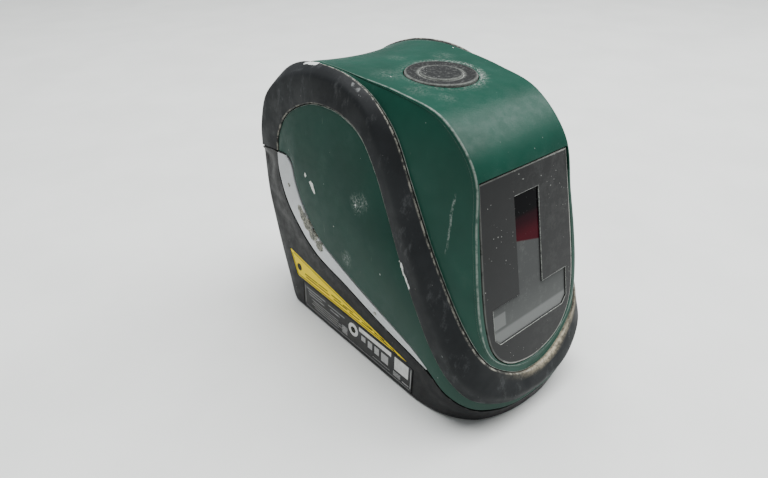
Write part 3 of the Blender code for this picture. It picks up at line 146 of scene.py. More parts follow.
# --- Materials ---
class Nodes:
    """Small helper that wires a procedural material, with lengths in millimetres."""

    def __init__(self, name, roughness=0.5, metallic=0, shine=0.5):
        self.material = bpy.data.materials.new(name)
        self.material.use_nodes = True
        self.tree = self.material.node_tree
        self.shader = self.tree.nodes["Principled BSDF"]
        self.set("Roughness", roughness)
        self.set("Metallic", metallic)
        self.set("Specular IOR Level", shine)
        self.colour = None
        place = self.add("ShaderNodeTexCoord", {}, "Object")
        self.place = self.add("ShaderNodeVectorMath", {0: place, "Scale": 1 / MM}, operation="SCALE")

    def add(self, kind, inputs, output=0, **settings):
        """New node with its inputs plugged in; returns one of its outputs."""
        node = self.tree.nodes.new(kind)
        for key, value in settings.items():
            setattr(node, key, value)
        for key, value in inputs.items():
            self.plug(node.inputs[key], value)
        return node.outputs[output]

    def plug(self, socket, value):
        if isinstance(value, bpy.types.NodeSocket):
            self.tree.links.new(value, socket)
        else:
            socket.default_value = (*value, 1) if socket.type == "RGBA" else value

    def set(self, name, value):
        self.plug(self.shader.inputs[name], value)

    def math(self, operation, first, second=0):
        return self.add("ShaderNodeMath", {0: first, 1: second}, operation=operation)

    def times(self, first, *others):
        for other in others:
            first = self.math("MULTIPLY", first, other)
        return first

    def mapped(self, scale, shift):
        return self.add("ShaderNodeMapping", {"Vector": self.place, "Scale": scale, "Location": shift})

    def noise(self, size, detail=4, roughness=0.55, seed=0, stretch=(1, 1, 1)):
        """Noise from 0 to 1 with features of about size millimetres."""
        place = self.mapped([1 / (size * s) for s in stretch], (seed, seed * 1.7, -seed))
        settings = {"Vector": place, "Scale": 1, "Detail": detail, "Roughness": roughness}
        return self.add("ShaderNodeTexNoise", settings, "Fac")

    def cells(self, size, seed=0):
        """Distance to scattered points about size millimetres apart."""
        place = self.mapped([1 / size] * 3, (seed, -seed, seed * 0.6))
        return self.add("ShaderNodeTexVoronoi", {"Vector": place, "Scale": 1}, "Distance")

    def ramp(self, value, low, high, start=0, end=1):
        """Smooth step of value from start at low to end at high."""
        settings = {"Value": value, "From Min": low, "From Max": high, "To Min": start, "To Max": end}
        return self.add("ShaderNodeMapRange", settings, interpolation_type="SMOOTHSTEP")

    def painted(self, name):
        """Value that the mesh carries at its vertices."""
        return self.add("ShaderNodeAttribute", {}, "Fac", attribute_name=name)

    def flecked(self, name, noise, low, high, start=0):
        """Painted value with gaps where a noise is low."""
        return self.times(self.painted(name), self.ramp(self.noise(*noise), low, high, start))

    def ragged(self, name, noise, low, high):
        """Painted spots with rims that follow a noise."""
        return self.ramp(self.math("SUBTRACT", self.painted(name), self.noise(*noise)), low, high)

    def specks(self, size, amount, seed):
        """Sparse dust specks: 0 or nearly 1."""
        cell = self.cells(size, seed)
        reach = self.ramp(self.noise(size * 6, 3, seed=seed + 2), 0.35, 0.75, 0.02, amount)
        return self.ramp(self.math("SUBTRACT", reach, cell), 0, 0.03)

    def mix(self, share, first, second):
        return self.add("ShaderNodeMix", {"Factor": share, 6: first, 7: second}, 2, data_type="RGBA")

    def coat(self, cover, tone, strength=None):
        """Lays a tone over the colour so far."""
        share = cover if strength is None else self.times(cover, strength)
        self.colour = self.mix(share, self.colour, tone)

    def coordinate(self, axis):
        return self.add("ShaderNodeSeparateXYZ", {0: self.place}, axis)

    def finish(self, height, depth, strength, roughness=None):
        """The material with its colour so far, its roughness, and a bump of some depth in millimetres."""
        self.set("Base Color", self.colour)
        if roughness is not None:
            self.set("Roughness", roughness)
        bump = {"Strength": strength, "Distance": depth * MM, "Height": height}
        self.set("Normal", self.add("ShaderNodeBump", bump))
        return self.material


def green_material(name, greens, shine, film_and_reflection):
    n = Nodes(name, shine=shine)
    n.colour = n.mix(n.ramp(n.noise(28, 3), 0.3, 0.7), *greens)
    # Dust haze, plus a painted reflection of the pale floor that turns the green paler below 66 mm, as strongly as
    # the last argument says.
    haze = n.times(n.ramp(n.noise(7, 6, 0.7), 0.52, 0.78), 0.04)
    n.coat(n.math("ADD", haze, n.ramp(n.coordinate("Z"), 66, 24, 0, film_and_reflection)), (0.16, 0.2, 0.18))
    scratches = n.ramp(n.noise(1.6, 5, 0.6, 3, (0.35, 0.35, 9)), 0.66, 0.74)
    n.coat(n.times(scratches, n.ramp(n.noise(16, 2, seed=5), 0.5, 0.62)), (0.2, 0.27, 0.24), 0.4)
    dust = n.flecked("dust", (0.9, 7, 0.85, 8), 0.45, 0.6)
    n.coat(dust, (0.42, 0.45, 0.42), 0.75)
    n.coat(n.specks(3.8, 0.08, 11), (0.42, 0.47, 0.44), 0.35)
    worn = n.flecked("edge", (2.3, 5, 0.7, 4), 0.34, 0.56, 0.25)
    n.coat(worn, (0.56, 0.6, 0.55), 0.85)
    # Painted highlight: a bright line where the hood's crease turns down at the front.
    crease_highlight = n.times(n.ramp(n.coordinate("Z"), 76, 86), n.ramp(n.coordinate("Y"), -12, -22),
                     n.ramp(n.painted("edge"), 0.4, 0.75),
                     n.ramp(n.math("ABSOLUTE", n.coordinate("X")), 19, 21))
    n.coat(crease_highlight, (0.8, 0.86, 0.8), 0.7)
    n.coat(n.ragged("chip", (1.1, 5, 0.75, 6), 0.02, 0.1), (0.72, 0.74, 0.7))
    # Long scratch on the hood's left flank.
    drift = n.math("ADD", n.coordinate("Y"), n.times(n.noise(9, 2, seed=14), 3))
    scratch = n.times(n.ramp(n.math("ABSOLUTE", n.math("ADD", drift, 36)), 0.6, 0.2),
                      n.times(n.ramp(n.coordinate("Z"), 61, 66), n.ramp(n.coordinate("Z"), 84, 80)),
                      n.ramp(n.coordinate("X"), -22, -24), n.ramp(n.noise(1, 6, 0.8, 15), 0.42, 0.6))
    n.coat(scratch, (0.4, 0.45, 0.42), 0.42)
    rough = n.ramp(n.noise(3.5, 5, 0.6, 1), 0.3, 0.7, 0.28, 0.42)
    rough = n.math("MAXIMUM", rough, n.times(n.math("MAXIMUM", worn, dust), 0.7))
    return n.finish(n.noise(0.45, 3, 0.6, 2), 0.025, 0.5, rough)


def rubber_material():
    n = Nodes("guard_rubber", shine=0.15)
    n.colour = n.mix(n.ramp(n.noise(20, 4, 0.6), 0.3, 0.7),
                     (0.0118, 0.0132, 0.0146), (0.0205, 0.0225, 0.0242))
    n.coat(n.ramp(n.noise(5, 7, 0.75, 3, (1, 1, 2.2)), 0.53, 0.72), (0.14, 0.145, 0.15), 0.3)
    n.coat(n.ragged("scuff", (0.7, 6, 0.8, 9, (1, 1, 3)), 0.12, 0.4), (0.24, 0.25, 0.25), 0.6)
    n.coat(n.specks(2.8, 0.09, 4), (0.3, 0.31, 0.3), 0.5)
    worn = n.flecked("edge", (2.6, 6, 0.75, 7), 0.42, 0.62, 0.05)
    n.coat(worn, (0.4, 0.385, 0.33), 0.85)
    n.coat(n.ragged("chip", (1, 5, 0.75, 6), 0, 0.1), (0.72, 0.74, 0.72))
    sand = n.flecked("sand", (1.4, 6, 0.75, 12), 0.36, 0.58, 0.25)
    n.coat(sand, (0.6, 0.53, 0.38))
    rough = n.ramp(n.noise(6, 4, 0.6, 2), 0.3, 0.7, 0.5, 0.68)
    rough = n.math("MAXIMUM", rough, n.times(n.math("MAXIMUM", worn, sand), 0.85))
    return n.finish(n.noise(0.5, 4, 0.65, 5), 0.03, 0.6, rough)


def black_material():
    n = Nodes("base_black_plastic", shine=0.18)
    n.colour = n.mix(n.ramp(n.noise(24, 3), 0.3, 0.7), (0.0095, 0.0097, 0.0105), (0.0155, 0.0157, 0.017))
    # Painted shade: a darker band on the base wall from its upper edge down to its fold.
    n.coat(n.painted("band"), (0.004, 0.0042, 0.0048), 0.6)
    n.coat(n.ramp(n.noise(6, 6, 0.7, 2, (1, 2, 1)), 0.55, 0.75), (0.12, 0.12, 0.12), 0.1)
    n.coat(n.specks(3.2, 0.12, 7), (0.3, 0.3, 0.29), 0.5)
    n.coat(n.flecked("edge", (3, 5, 0.7, 3), 0.5, 0.66), (0.3, 0.3, 0.29), 0.5)
    rough = n.ramp(n.noise(4, 5, 0.6, 4), 0.3, 0.7, 0.42, 0.58)
    return n.finish(n.noise(0.6, 4, 0.7, 1), 0.045, 0.7, rough)


def silver_material():
    n = Nodes("trim_silver_paint", metallic=0.35)
    n.colour = n.mix(n.noise(9, 5, 0.6), (0.35, 0.36, 0.37), (0.42, 0.435, 0.445))
    # Paler towards the bottom: painted light on the strip's lower part.
    n.coat(n.ramp(n.coordinate("Z"), 58, 42), (0.52, 0.54, 0.55))
    n.coat(n.ramp(n.noise(1.2, 6, 0.7, 4, (1, 2, 2)), 0.55, 0.7), (0.25, 0.26, 0.26), 0.35)
    dirt = n.ragged("chip", (0.9, 7, 0.8, 3), -0.1, 0.15)
    n.coat(dirt, n.mix(n.ramp(n.noise(0.8, 6, 0.8, 6), 0.42, 0.6), (0.07, 0.075, 0.07), (0.4, 0.39, 0.32)))
    rough = n.math("MAXIMUM", n.ramp(n.noise(3), 0.3, 0.7, 0.3, 0.45), n.times(dirt, 0.8))
    return n.finish(n.noise(0.8, 4, 0.7), 0.02, 0.5, rough)


def window_material():
    n = Nodes("window_dark_plastic", shine=0.15)
    n.colour = n.mix(n.noise(15, 4, 0.6), (0.006, 0.0062, 0.0068), (0.010, 0.0103, 0.0112))
    side = n.ramp(n.coordinate("X"), -8, 12, 0.05)
    film_and_reflection = n.times(n.ramp(n.noise(5, 8, 0.8, 2), 0.44, 0.7), side)
    n.coat(film_and_reflection, (0.2, 0.205, 0.2), 0.2)
    n.coat(n.specks(1.5, 0.2, 5), (0.38, 0.39, 0.37), 0.6)
    n.coat(n.flecked("edge", (3.2, 5, 0.7, 8), 0.3, 0.52, 0.3), (0.5, 0.51, 0.47), 0.9)
    return n.finish(n.noise(0.8, 5, 0.7, 3), 0.02, 0.5, n.ramp(film_and_reflection, 0, 0.8, 0.3, 0.55))


def key_material(name, light):
    n = Nodes(name, 0.7, shine=0.15)
    n.colour = n.mix(n.noise(6, 5, 0.7), [c * light for c in (0.009, 0.01, 0.0105)],
                     [c * light for c in (0.02, 0.0215, 0.022)])
    n.coat(n.specks(1.3, 0.25, 3), (0.32, 0.33, 0.32), 0.4)
    n.coat(n.ramp(n.noise(1.1, 6, 0.75, 5), 0.5, 0.66), (0.35, 0.36, 0.34), 0.14)
    n.coat(n.flecked("edge", (1.6, 5, 0.7, 6), 0.3, 0.55, 0.35), (0.32, 0.34, 0.31), 0.5)
    return n.finish(n.noise(0.5, 4, 0.7, 2), 0.04, 0.6)


def glass_material():
    """Smoked glass of the T: dark at the top of its slot, a painted shade for the unlit inside seen through it,
    with a red band under that.
    """
    n = Nodes("smoked_window_glass", shine=0.03)
    slope = n.math("ADD", n.times(n.coordinate("Z"), math.cos(WINDOW_TILT)),
                   n.times(n.coordinate("Y"), math.sin(WINDOW_TILT)))
    slope = n.math("SUBTRACT", slope, (WINDOW_FOOT_Y + CENTRING[1]) * math.sin(WINDOW_TILT))
    n.colour = n.mix(n.ramp(slope, 34, 52), (0.105, 0.11, 0.108), (0.068, 0.071, 0.071))
    film_and_reflection = n.ramp(n.noise(4, 7, 0.75, 2), 0.5, 0.75)
    n.coat(film_and_reflection, (0.2, 0.21, 0.2), 0.25)
    strip = n.ramp(slope, 38.4, 37.2, 0, 0.5)
    patch = n.times(n.ramp(n.coordinate("X"), -12.6, -13.4),
                    n.times(n.ramp(slope, 38.6, 39.2), n.ramp(slope, 44.2, 43.6)))
    n.coat(n.math("MAXIMUM", strip, n.times(patch, 0.45)), (0.26, 0.27, 0.265))
    # Red band that darkens upward into the near-black painted shade at the top of the slot.
    red = n.mix(n.ramp(slope, 66, 72), (0.05, 0.002, 0.007), (0.016, 0.001, 0.004))
    dark = n.mix(n.ramp(slope, 72, 74.5), red, (0.001, 0.001, 0.0018))
    lean = n.math("ADD", slope, n.times(n.coordinate("X"), 0.26))
    n.coat(n.ramp(lean, 63.9, 64.5), dark)
    n.coat(n.specks(1.2, 0.15, 8), (0.3, 0.31, 0.3), 0.4)
    return n.finish(n.noise(6, 2), 0.03, 0.2, n.ramp(film_and_reflection, 0, 1, 0.12, 0.3))


def plain_material(name, first, second, size, rough, metallic=0, shine=0.5, depth=0.02,
                   stretch=(1, 1, 1)):
    """Two tones, uneven roughness and a fine bump, for the small pieces."""
    n = Nodes(name, metallic=metallic, shine=shine)
    n.colour = n.mix(n.ramp(n.noise(size, 5, 0.65, 0, stretch), 0.35, 0.65), first, second)
    rough = n.ramp(n.noise(size * 0.6, 4, 0.6, 3, stretch), 0.3, 0.7, rough * 0.8, rough * 1.2)
    return n.finish(n.noise(0.5, 4, 0.7, 5, stretch), depth, 0.6, rough)


def board_material():
    """Lacquered circuit board: solder mask over copper tracks, and tinned pads."""
    n = Nodes("circuit_board", 0.3)
    across = n.math("ADD", n.coordinate("X"), n.times(n.noise(9, 0), 6))
    up = n.math("ADD", n.coordinate("Z"), n.times(n.noise(7, 0, seed=4), 5))
    tracks = n.math("MAXIMUM", n.ramp(n.math("PINGPONG", across, 0.9), 0.66, 0.72),
                    n.ramp(n.math("PINGPONG", up, 1.1), 0.86, 0.92))
    n.colour = n.mix(tracks, (0.008, 0.09, 0.035), (0.02, 0.17, 0.06))
    pads = n.ramp(n.cells(2.6, 2), 0.2, 0.17)
    n.coat(pads, (0.62, 0.6, 0.55))
    n.set("Metallic", n.times(pads, 0.9))
    return n.finish(tracks, 0.035, 0.8)


def cell_material():
    """Printed sleeve: two colours along the cell with a metal cap at each end."""
    n = Nodes("cell_sleeve_print")
    along = n.painted("along")
    band = n.ramp(along, 33.4, 33.8)
    n.colour = n.mix(band, (0.012, 0.03, 0.13), (0.5, 0.36, 0.14))
    n.coat(n.times(n.ramp(along, 31.6, 31.9), n.ramp(along, 32.9, 32.6)), (0.75, 0.75, 0.73))
    cap = n.math("MAXIMUM", n.ramp(along, 0.25, 0.1), n.ramp(along, 48.25, 48.4))
    n.coat(cap, (0.62, 0.62, 0.6))
    n.set("Metallic", n.math("MAXIMUM", cap, n.times(band, 0.6)))
    return n.finish(n.noise(3, 3), 0.03, 0.3, n.ramp(n.noise(2), 0.3, 0.7, 0.24, 0.36))


def floor_material():
    n = Nodes("pale_floor", 0.55)
    n.colour = n.mix(n.ramp(n.noise(60), 0.3, 0.7), (0.79, 0.81, 0.79), (0.84, 0.86, 0.84))
    return n.finish(n.noise(1.5), 0.03, 0.3)


# Plain materials: key, name, two tones, size of their pattern in millimetres, roughness, and then
# metal, shine, depth of the bump and stretch of the pattern where they aren't the usual ones.
PLAIN_MATERIALS = [
    ("pale", "settled_dust", (0.12, 0.125, 0.12), (0.38, 0.4, 0.37), 0.9, 0.8),
    ("yellow", "yellow_film", (1, 0.73, 0), (1, 0.78, 0), 8, 0.4, 0, 0.08),
    ("plate", "plate_film", (0.016, 0.016, 0.0172), (0.023, 0.023, 0.0245), 6, 0.4, 0, 0.25),
    ("ink", "dark_print", (0.012, 0.012, 0.01), (0.03, 0.028, 0.015), 1, 0.5, 0, 0.1),
    ("white", "white_print", (0.62, 0.62, 0.6), (0.75, 0.75, 0.73), 2, 0.5),
    ("soft", "grey_print", (0.34, 0.34, 0.34), (0.45, 0.45, 0.45), 1, 0.5),
    ("faint", "faint_print", (0.1, 0.1, 0.1), (0.34, 0.34, 0.34), 0.5, 0.5),
    ("foot", "foot_rubber", (0.02, 0.02, 0.02), (0.035, 0.035, 0.035), 2, 0.8, 0, 0.5, 0.05),
    ("tray", "tray_plastic", (0.022, 0.022, 0.023), (0.032, 0.032, 0.033), 6, 0.5),
    ("grey", "switch_plastic", (0.15, 0.15, 0.155), (0.2, 0.2, 0.205), 5, 0.5),
    ("aluminium", "cast_aluminium", (0.45, 0.46, 0.47), (0.56, 0.57, 0.58), 3, 0.42, 1, 0.5, 0.04),
    ("steel", "plated_steel", (0.5, 0.5, 0.5), (0.62, 0.62, 0.61), 2, 0.3, 1),
    ("brass", "turned_brass", (0.6, 0.42, 0.17), (0.72, 0.53, 0.24), 2, 0.3, 1, 0.5, 0.02, (1, 4, 4)),
    ("copper", "copper_plate", (0.66, 0.3, 0.17), (0.78, 0.4, 0.25), 3, 0.35, 1),
    ("nickel", "nickel_plating", (0.58, 0.56, 0.52), (0.68, 0.66, 0.62), 3, 0.25, 1),
    ("lens", "coated_lens", (0.09, 0.004, 0.008), (0.13, 0.008, 0.014), 3, 0.08),
    ("wire", "wire_insulation", (0.45, 0.015, 0.015), (0.55, 0.025, 0.02), 2, 0.45),
]
MATERIALS = {key: plain_material(*row) for key, *row in PLAIN_MATERIALS}
# The last number of each green is the strength of its painted floor reflection low down.
MATERIALS.update(
    green=green_material("green_hood_plastic", ((0.0062, 0.046, 0.031), (0.0095, 0.061, 0.042)), 0.14, 0.07),
    side=green_material("green_side_plastic", ((0.0026, 0.033, 0.0225), (0.0046, 0.043, 0.0295)), 0.07, 0.17),
    rubber=rubber_material(), black=black_material(), silver=silver_material(),
    window=window_material(), glass=glass_material(), board=board_material(),
    ring=key_material("key_ring_rubber", 0.9), key=key_material("key_rubber", 1),
    cell=cell_material(), floor=floor_material())


# --- Curves and meshes ---
def curve(points, per=FINE, folded=True):
    """Catmull-Rom curve, per rows to a control point; a folded one ends on the mid-plane."""
    control = np.array(points, dtype=float)
    before = 2 * control[0] - control[1]
    after = 2 * control[-1] - control[-2]
    if folded:
        after = mirror_x(control[-2])
    padded = np.vstack([before, control, after])
    rows = []
    for place in np.linspace(0, len(control) - 1, (len(control) - 1) * per + 1):
        first = min(int(place), len(control) - 2)
        t = place - first
        p0, p1, p2, p3 = padded[first:first + 4]
        rows.append(0.5 * (2 * p1 + (p2 - p0) * t + (2 * p0 - 5 * p1 + 4 * p2 - p3) * t ** 2
                           + (3 * p1 - p0 - 3 * p2 + p3) * t ** 3))
    return np.array(rows)


def unit(vectors):
    return vectors / np.maximum(np.linalg.norm(vectors, axis=-1, keepdims=True), 1e-9)


def slopes(rows):
    """Difference of each row's neighbours."""
    return np.concatenate([rows[1:2] - rows[:1], rows[2:] - rows[:-2], rows[-1:] - rows[-2:-1]])


def tangents(rows):
    return unit(slopes(rows))


def mirror_x(rows):
    return rows * np.array([-1, 1, 1])


def full(rows):
    """Right half and its mirror image, as one run of rows."""
    if rows.ndim == 2:
        return np.concatenate([rows, rows[-2::-1]])
    return np.concatenate([rows, mirror_x(rows[-2::-1])])


def bend(start, corner, end, steps):
    """Points that round off a corner."""
    return [start * (1 - t) ** 2 + corner * 2 * t * (1 - t) + end * t ** 2 for t in np.linspace(0, 1, steps)]


def rounded(corners, cuts, marks, steps=5, closed=True):
    """Section with its corners rounded: points (rows, k, 3) and their edge marks (rows, k)."""
    count = len(corners)
    points, values = [], []
    for i, corner in enumerate(corners):
        if cuts[i] <= 0 or (not closed and i in (0, count - 1)):
            points.append(corner)
            values.append(np.full(len(corner), marks[i]))
            continue
        back = corners[i - 1] - corner
        ahead = corners[(i + 1) % count] - corner
        reach = np.minimum(np.linalg.norm(back, axis=1), np.linalg.norm(ahead, axis=1)) * 0.45
        reach = np.minimum(reach, cuts[i])[:, None]
        points += bend(corner + unit(back) * reach, corner, corner + unit(ahead) * reach, steps)
        values += [np.full(len(corner), marks[i] * math.sin(math.pi * t)) for t in np.linspace(0, 1, steps)]
    return np.stack(points, axis=1), np.stack(values, axis=1)


def add_object(name, data):
    obj = bpy.data.objects.new(name, data)
    bpy.context.scene.collection.objects.link(obj)
    return obj


def mesh_piece(name, points, faces, material, marks=None, angle=40):
    """Mesh object in one of MATERIALS; marks maps a name to one value for each vertex."""
    mesh = bpy.data.meshes.new(name)
    places = (np.array(points, dtype=float).reshape(-1, 3) + CENTRING) * MM
    mesh.from_pydata(places.tolist(), [], faces)
    for key, values in (marks or {}).items():
        layer = mesh.attributes.new(key, "FLOAT", "POINT")
        layer.data.foreach_set("value", np.array(values, dtype=np.float32).ravel())
    work = bmesh.new()
    work.from_mesh(mesh)
    bmesh.ops.remove_doubles(work, verts=work.verts, dist=WELD)
    bmesh.ops.dissolve_degenerate(work, edges=work.edges, dist=SLIVER)
    loose = [edge for edge in work.edges if not edge.link_faces]
    bmesh.ops.delete(work, geom=loose, context="EDGES")
    bmesh.ops.recalc_face_normals(work, faces=work.faces)
    work.to_mesh(mesh)
    work.free()
    mesh.shade_smooth()
    mesh.set_sharp_from_angle(angle=math.radians(angle))
    mesh.materials.append(MATERIALS[material])
    return add_object(name, mesh)


def grid_faces(rows, columns, wrap, offset=0, ring=False):
    """Faces of a grid; wrap joins the ends of its rows, and ring joins its last row to the first."""
    faces = []
    for r in range(rows if ring else rows - 1):
        here, there = offset + r * columns, offset + (r + 1) % rows * columns
        for c in range(columns if wrap else columns - 1):
            d = (c + 1) % columns
            faces.append((here + c, here + d, there + d, there + c))
    return faces


def loft(name, sections, material, marks=None, angle=40):
    """Closed tube through closed sections, with flat ends."""
    rows, columns = sections.shape[:2]
    faces = grid_faces(rows, columns, True)
    faces += [tuple(range(columns)), tuple(range((rows - 1) * columns, rows * columns))]
    return mesh_piece(name, sections, faces, material, marks, angle)


def slab(name, outer, inner, material, marks, angle=40, folded=False):
    """Closed solid between two open grids; folded means the last row meets its own mirror image."""
    rows, columns = outer.shape[:2]
    half = rows * columns
    faces = grid_faces(rows, columns, False) + grid_faces(rows, columns, False, half)
    down = [r * columns for r in range(rows)]
    runs = [down, [place + columns - 1 for place in down], list(range(columns))]
    if not folded:
        runs.append([down[-1] + c for c in range(columns)])
    for run in runs:
        for a, b in zip(run, run[1:]):
            faces.append((a, b, b + half, a + half))
    both = {key: np.tile(value.ravel(), 2) for key, value in marks.items()}
    points = np.concatenate([outer.reshape(-1, 3), inner.reshape(-1, 3)])
    return mesh_piece(name, points, faces, material, both, angle)


def prism(name, outlines, material, marks=None, angle=40):
    """Closed solid through a stack of outlines, each a closed run of 3D points."""
    return loft(name, np.stack([np.array(o, dtype=float) for o in outlines]), material, marks, angle)


def full_turn(count):
    return np.linspace(0, 2 * math.pi, count, endpoint=False)


def turned(name, centre, axis, profile, material, sides=64, marks=None, angle=40):
    """Body of revolution; profile is a closed run of (radius, height)."""
    axis = unit(np.array(axis, dtype=float))
    first = unit(np.cross(axis, [1, 0, 0] if abs(axis[0]) < 0.9 else [0, 1, 0]))
    second = np.cross(axis, first)
    sections = []
    for turn in full_turn(sides):
        out = first * math.cos(turn) + second * math.sin(turn)
        sections.append([np.array(centre) + out * r + axis * h for r, h in profile])
    faces = grid_faces(sides, len(profile), True, ring=True)
    values = {key: np.tile(v, sides) for key, v in (marks or {}).items()}
    return mesh_piece(name, sections, faces, material, values, angle)


def post(name, foot, radius, height, sides=64, axis=(0, 0, 1)):
    """Plain cylinder, to join to a black piece or to cut out of it."""
    return turned(name, foot, axis, [(0, 0), (radius, 0), (radius, height), (0, height)], "black", sides)


def tube(name, path, radius, material, sides=10):
    """Round wire along a path, with closed ends."""
    path = np.array(path, dtype=float)
    along = tangents(path)
    side = np.array([0, 0, 1]) if abs(along[0][2]) < 0.9 else np.array([1, 0, 0])
    sections = []
    for point, direction in zip(path, along):
        side = unit(side - direction * np.dot(side, direction))
        up = np.cross(direction, side)
        sections.append([point + (side * math.cos(t) + up * math.sin(t)) * radius for t in full_turn(sides)])
    return loft(name, np.array(sections), material)


def block(name, low, high, material, bevel=0.2):
    """Box with rounded edges."""
    (x0, y0, z0), (x1, y1, z1) = low, high
    points = [(x, y, z) for x in (x0, x1) for y in (y0, y1) for z in (z0, z1)]
    faces = [(0, 1, 3, 2), (4, 6, 7, 5), (0, 4, 5, 1), (2, 3, 7, 6), (0, 2, 6, 4), (1, 5, 7, 3)]
    obj = mesh_piece(name, points, faces, material)
    if bevel:
        step = obj.modifiers.new("bevel", "BEVEL")
        step.width = bevel * MM
        step.segments = 3
        step.limit_method = "ANGLE"
        step.angle_limit = math.radians(35)
    return obj


def combine(obj, others, operation, angle=35):
    """Boolean of obj with each of the others, which are then gone."""
    for other in others:
        step = obj.modifiers.new("combine", "BOOLEAN")
        step.operation = operation
        step.solver = "EXACT"
        step.object = other
    graph = bpy.context.evaluated_depsgraph_get()
    mesh = bpy.data.meshes.new_from_object(obj.evaluated_get(graph))
    obj.modifiers.clear()
    obj.data = mesh
    obj.data.set_sharp_from_angle(angle=math.radians(angle))
    for other in others:
        bpy.data.objects.remove(other)


def place_piece(obj, slot, *nodes, body="housing"):
    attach(obj, body)
    if nodes:
        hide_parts(*nodes)


def spot_marks(points, spots):
    """1 inside each spot, fading to 0 at its rim; a spot is (x, y, z, radius)."""
    flat = np.array(points, dtype=float).reshape(-1, 3)
    value = np.zeros(len(flat))
    for x, y, z, radius in spots:
        distance = np.linalg.norm(flat - np.array([x, y, z]), axis=1)
        value = np.maximum(value, np.clip(1.6 * (1 - distance / radius), 0, 1))
    return value.reshape(np.array(points).shape[:-1])


def grid_normals(grid):
    """Unit normals of a grid whose first column lies on the mid-plane, evened out across it."""
    padded = np.concatenate([mirror_x(grid[:, 1:2]), grid], axis=1)
    across = slopes(padded.swapaxes(0, 1)).swapaxes(0, 1)[:, 1:]
    normals = unit(np.cross(slopes(grid), across))
    for _ in range(8):
        normals[:, 1:-1] = unit(normals[:, :-2] + 2 * normals[:, 1:-1] + normals[:, 2:])
    return normals


# --- Rubber guard ---
class Guard:
    """Rows of the guard's right half with the directions of its facets."""

    def __init__(self):
        self.edge, self.crest, self.side = curve(BUMPER_EDGE), curve(BUMPER_CREST), curve(BUMPER_SIDE)
        along = tangents(self.crest)
        self.to_edge = unit(self.edge - self.crest)
        self.to_side = unit(self.side - self.crest)
        self.edge_normal = unit(np.cross(self.to_edge, along))
        self.side_normal = unit(np.cross(along, self.to_side))
        self.crest_normal = unit(self.edge_normal + self.side_normal)

    def at(self, which, depth, shift=0):
        """Row below one of the guard's lines, moved out of the guard by shift."""
        if which == "crest":
            return self.crest - self.crest_normal * depth
        line, normal, out = ((self.edge, self.edge_normal, self.to_edge) if which == "edge"
                             else (self.side, self.side_normal, self.to_side))
        return line - normal * depth + out * shift


def make_guard(guard):
    middle_top = (guard.edge + guard.crest) / 2 + guard.edge_normal * 0.25
    middle_side = (guard.side + guard.crest) / 2 + guard.side_normal * 0.1
    corners = [guard.edge, middle_top, guard.crest, middle_side, guard.side, guard.at("side", 2.5),
               guard.at("crest", 2.5), guard.at("edge", 2.5)]
    points, marks = rounded(corners, [0.7, 2.5, 1.6, 2.5, 0.6, 0, 0, 0],
                            [1, 0, 0, 0, 0.8, 0.2, 0, 0.3])
    points, marks = full(points), full(marks)
    near = np.clip((-48 - points[:, :, 1]) / 6, 0, 1)
    centre = np.exp(-((points[:, :, 0] - 9) / 14) ** 2)
    reach = np.linalg.norm(points - full(guard.edge[:, None, :]), axis=2)
    close = np.clip(1 - reach / 2.6, 0, 1)
    piece = loft("rubber_guard", points, "rubber",
                 {"edge": marks, "sand": near * centre * close, "scuff": spot_marks(points, SCUFFS),
                  "chip": spot_marks(points, GUARD_CHIPS)})
    place_piece(piece, "rubber", "rubber_bumper")


GUARD_CHIPS = [
    (-32.3, -24.5, 54.6, 1.1), (-32.4, -25.4, 53, 1.3), (-32.4, -26.4, 51.3, 1.4), (-32.5, -27.4, 49.6, 1.3),
    (-32.6, -28.4, 47.9, 1.1), (-27.2, 32.6, 107, 1.3), (-27.1, 31.2, 107.4, 1.4), (-27, 29.8, 107.7, 1.5),
    (-27, 28.4, 107.9, 1.5), (-26.9, 27, 108.1, 1.4), (-26.9, 25.6, 108.2, 1.2)]
SCUFFS = [
    (-26.3, 33.6, 106.8, 1.8), (-25.6, 30, 107.9, 1.6), (-24.6, 26.2, 108.5, 1.8), (-28, 1.5, 104.9, 1.9),
    (-28, 4.1, 106, 1.5), (-30.5, -6.7, 95.2, 1.5), (-31, 12.4, 102.8, 1), (-29, -21.3, 76.7, 1.3),
    (-28, -37.1, 58.4, 1.4), (-27, -4, 103, 1.4), (-33, -40, 36, 0.9), (-33.2, -46, 30, 0.9),
    (33, -36, 46, 1.6), (31, 10, 104.5, 1.8), (31.6, -10, 92, 1.2), (31.8, 55, 88, 1.5), (-31.6, 54, 90, 1)]


# --- Green hood ---
# Thicknesses and depths of the shells, then the number of points across them.
HOOD_SKIN = 0.4
SHELL_SKIN = 0.9
BASE_SKIN = 1.9
HOOD_DEPTH = 1.1             # how far the hood's border lies below the guard's edge
CHANNEL_DEPTH = 3.1          # how far the side shell passes below the guard
HOOD_TOP_Z = 100             # dust round the key only lies above this
HOOD_COLUMNS = 21
SIDE_COLUMNS = 57


